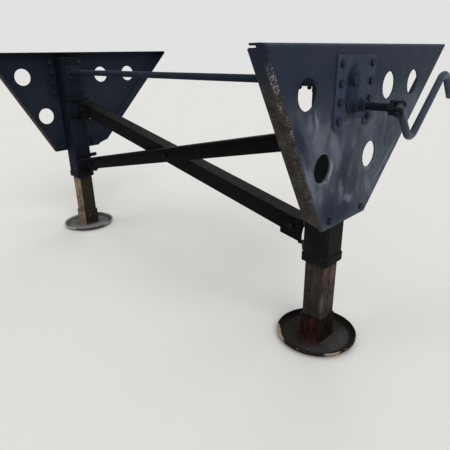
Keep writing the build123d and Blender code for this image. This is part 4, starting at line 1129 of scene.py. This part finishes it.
class LANDINGGEAR_OT_bolts(bpy.types.Operator):
    """Make the bolts: chamfered heads, nuts and threaded ends"""

    bl_idname = "landing_gear.bolts"
    bl_label = "Bolts"

    def execute(self, context):
        plain = painted_steel("bolt_steel", paint_of("gearbox", 0.49), 0.3, 0.4, 0.5, 0.14)
        black = painted_steel("brace_bolt_steel", paint_of("frame", 1.5), 0.3, 0.4, 0.4)
        crank = crank_steel("crank_pin_steel", paint_of("crank", 0.5), 0.1, 0.4, 0.2)
        for side, sign in SIDES.items():
            self.row(f"{side}_mounting_bolts", self.mounting(side, sign), plain, BOLT_SIZE)
            self.row(f"{side}_coupling_bolts", self.coupling(side), black, COUPLING_BOLT)
        self.row("brace_bolts", self.bracing(), black, BOLT_SIZE)
        fork = [(FORK_PLACE + FORK_LINE * FORK_WIDTH / 2, FORK_WIDTH, FORK_LINE)]
        self.row("crank_pin", fork, crank, FORK_BOLT, "crank", "crank_paint")
        return {"FINISHED"}

    # Each of the next three gives rows of the seat of a head, the grip down to its nut, and its direction

    @staticmethod
    def mounting(side, sign):
        """Bolts through a wing plate, on the crank side through the ears of the gearbox plate too."""
        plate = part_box(f"{side}_wing_plate")[1 if sign > 0 else 0].x * sign
        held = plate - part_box(f"{side}_mounting_flange")[0 if sign > 0 else 1].x * sign
        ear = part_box("gearbox_plate")[1].x - plate if sign > 0 else 0.0
        heights = [PLATE_FIRST_ROW - PLATE_ROW_PITCH * row for row in range(PLATE_ROWS)]
        rows = [(y, z, ear) for y in PLATE_COLUMNS for z in heights]
        rows += [(y, z, 0.0) for y, z in PLATE_LOW_BOLTS]
        return [((sign * (plate + over), y, z), held + over, sign * ACROSS) for y, z, over in rows]

    @staticmethod
    def coupling(side):
        """Upright bolts through a coupling, at a quarter of its length from each end."""
        low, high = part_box(f"{side}_shaft_coupling")
        quarter, gap = (high.x - low.x) / 4, 0.0003
        places = (low.x + quarter, high.x - quarter)
        return [((x, 0.0, high.z + gap), high.z - low.z + 2 * gap, UPRIGHT) for x in places]

    @staticmethod
    def bracing():
        """Bolts where the braces cross, at their ends, and through the brackets' level plates."""
        places = [((0.0, -BRACE_STEEL, BRACE_CROSSING), 2 * BRACE_STEEL, LEVEL)]
        for side, sign in SIDES.items():
            for which, rise in (("upper", 1.0), ("lower", -1.0)):
                lap = -BRACE_STEEL if sign * rise > 0 else -BRACKET_STEEL
                end = (sign * BRACE_END, lap, BRACE_CROSSING + rise * BRACE_RISE)
                places.append((end, BRACE_STEEL + BRACKET_STEEL, LEVEL))
                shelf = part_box(f"{side}_{which}_bracket")[0].z + BRACKET_STEEL
                places.append(((sign * SHELF_BOLT_X, SHELF_BOLT_Y, shelf), BRACKET_STEEL, UPRIGHT))
        return places

    @staticmethod
    def row(node, places, finish, size, body="stand", slot="bolt_steel"):
        """Bolts of one node: a shank, a head on its seat and a nut a grip away, each with a seeded turn."""
        turns = np.random.default_rng(len(node)).uniform(0.0, math.pi / 3, (len(places), 2))
        skins = []
        for (seat, grip, axis), (head_turn, nut_turn) in zip(places, turns):
            near = np.array(seat)
            far = near - grip * axis
            ends = *bolt_end(near, axis, head_turn, size, False), *bolt_end(far, -axis, nut_turn, size, True)
            skins += [skin(grid, caps=True) for grid in (*ends, shank(near, far, size))]
        surface(f"{node}_threaded", skins, finish, body, slot, (node,))


class LANDINGGEAR_OT_welds(bpy.types.Operator):
    """Lay the weld beads on the legs, feet and brackets"""

    bl_idname = "landing_gear.welds"
    bl_label = "Welds"

    def execute(self, context):
        for number, (side, sign) in enumerate(SIDES.items()):
            low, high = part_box(f"{side}_outer_tube")
            middle, half = (low.x + high.x) / 2, (high.x - low.x) / 2
            self.rings(side, middle, half, high.z, number)
            self.bearing(side, sign, middle - sign * half, number)
            self.flange(side, sign, middle + sign * (half - 0.0030), half - 0.0030, number)
            self.brackets(side, sign, middle - sign * half, number)
        return {"FINISHED"}

    @staticmethod
    def rings(side, middle, half, tube_top, number):
        """Level beads round a leg: round the socket and its plate, on top of the collar and under the cap."""
        black, rusty = bpy.data.materials["leg_paint"], bpy.data.materials[f"{side}_foot_steel"]
        foot_slot = FOOT_SLOTS[side]
        collar_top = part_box(f"{side}_tube_collar")[1].z
        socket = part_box(f"{side}_foot_socket")[0].z
        # name, half sizes, corner, height, how far the bead leans up, size, material and slot
        rings = (
            ("foot_weld", 0.0549, 0.0549, 0.0143, socket + 0.0072, 1.0, 1.0, rusty, foot_slot),
            ("foot_plate_weld", 0.0660, 0.0590, 0.0080, socket + 0.0004, 0.8, 0.6, rusty, foot_slot),
            ("collar_weld", half, half, 0.010, collar_top, 1.0, 0.75, black, "frame_paint"),
            ("cap_weld", half, half, 0.010, tube_top, -1.0, 0.6, black, "frame_paint"),
        )
        for row, (name, half_u, half_v, corner, z, lean, size, finish, slot) in enumerate(rings):
            loop, out = rounded_loop(half_u, half_v, corner)
            points = np.column_stack((middle + loop[:, 0], loop[:, 1], np.full(len(loop), z)))
            outward = np.column_stack((out, np.full(len(loop), lean)))
            bead(f"{side}_{name}", points, outward, finish, slot, True, size, 10 * number + row)

    @staticmethod
    def bearing(side, sign, inboard, number):
        """Bead round the bearing plate on the leg's inboard face, a rounded loop stood on its edge."""
        low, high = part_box(f"{side}_shaft_bearing")
        loop, out = rounded_loop((high.y - low.y) / 2, (high.z - low.z) / 2, 0.012)
        points = np.column_stack((np.full(len(loop), inboard), loop[:, 0], (low.z + high.z) / 2 + loop[:, 1]))
        outward = np.column_stack((np.full(len(loop), -sign), out))
        black = bpy.data.materials["leg_paint"]
        bead(f"{side}_bearing_weld", points, outward, black, "frame_paint", True, 0.7, 30 + number)

    @staticmethod
    def straight(name, start, end, outward, size, seed):
        """Straight open bead between two points."""
        points = np.linspace(start, end, 12)
        black = bpy.data.materials["leg_paint"]
        bead(name, points, np.tile(outward, (12, 1)), black, "frame_paint", False, size, seed)

    @classmethod
    def flange(cls, side, sign, outboard, reach, number):
        """Upright beads down both edges of the mounting flange, an upper and a lower run on each."""
        low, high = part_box(f"{side}_mounting_flange")
        heights = (BEAD_STOP, high.z - 0.004), (low.z + 0.003, BEAD_START)
        for row, (hand, (bottom, top)) in enumerate(product((-1.0, 1.0), heights)):
            start, end = (outboard, hand * reach, bottom), (outboard, hand * reach, top)
            name, seed = f"{side}_upright_weld_{row + 1}", 50 + 20 * number + row
            cls.straight(name, start, end, (-sign, hand, 0.0), 1.2, seed)

    @classmethod
    def brackets(cls, side, sign, inboard, number):
        """Level beads over and under the brackets' level plates."""
        for order, which in enumerate(("upper", "lower")):
            low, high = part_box(f"{side}_{which}_bracket")
            heights = low.z, low.z + BRACKET_STEEL, high.z - BRACKET_STEEL, high.z
            levels = zip(heights, (-1.0, 1.0, -1.0, 1.0))
            for row, (z, lean) in enumerate(levels):
                name, seed = f"{side}_{which}_bracket_weld_{row + 1}", 90 + 20 * number + 4 * order + row
                cls.straight(name, (inboard, -0.050, z), (inboard, 0.050, z), (-sign, 0.0, lean), 0.8, seed)


STEPS = (
    LANDINGGEAR_OT_stage,
    LANDINGGEAR_OT_wing_plates,
    LANDINGGEAR_OT_gearbox,
    LANDINGGEAR_OT_crank,
    LANDINGGEAR_OT_legs,
    LANDINGGEAR_OT_feet,
    LANDINGGEAR_OT_braces,
    LANDINGGEAR_OT_cross_shaft,
    LANDINGGEAR_OT_bolts,
    LANDINGGEAR_OT_welds,
)
SETTINGS = {"stage": StageSettings, "paint": PaintSettings, "welds": WeldSettings}


class LANDINGGEAR_PT_panel(bpy.types.Panel):
    """Steps and settings of the landing gear"""

    bl_idname = "LANDINGGEAR_PT_panel"
    bl_label = "Landing gear"
    bl_space_type = "VIEW_3D"
    bl_region_type = "UI"
    bl_category = "Landing gear"

    def draw(self, context):
        for step in STEPS:
            self.layout.operator(step.bl_idname)
        for key, group in SETTINGS.items():
            box = self.layout.box()
            for setting in group.__annotations__:
                box.prop(getattr(context.scene, f"landing_gear_{key}"), setting)


def register():
    """Registers the settings, the steps and the panel."""
    for cls in (*SETTINGS.values(), *STEPS, LANDINGGEAR_PT_panel):
        bpy.utils.register_class(cls)
    for key, group in SETTINGS.items():
        setattr(bpy.types.Scene, f"landing_gear_{key}", PointerProperty(type=group))


def unregister():
    """Takes them off again, the last one first."""
    for key in SETTINGS:
        delattr(bpy.types.Scene, f"landing_gear_{key}")
    for cls in reversed((*SETTINGS.values(), *STEPS, LANDINGGEAR_PT_panel)):
        bpy.utils.unregister_class(cls)


def main():
    """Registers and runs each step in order."""
    register()
    for step in STEPS:
        group, name = step.bl_idname.split(".")
        result = getattr(getattr(bpy.ops, group), name)()
        if result != {"FINISHED"}:
            raise RuntimeError(f"{step.bl_label} did not finish")


if __name__ == "__main__":
    main()
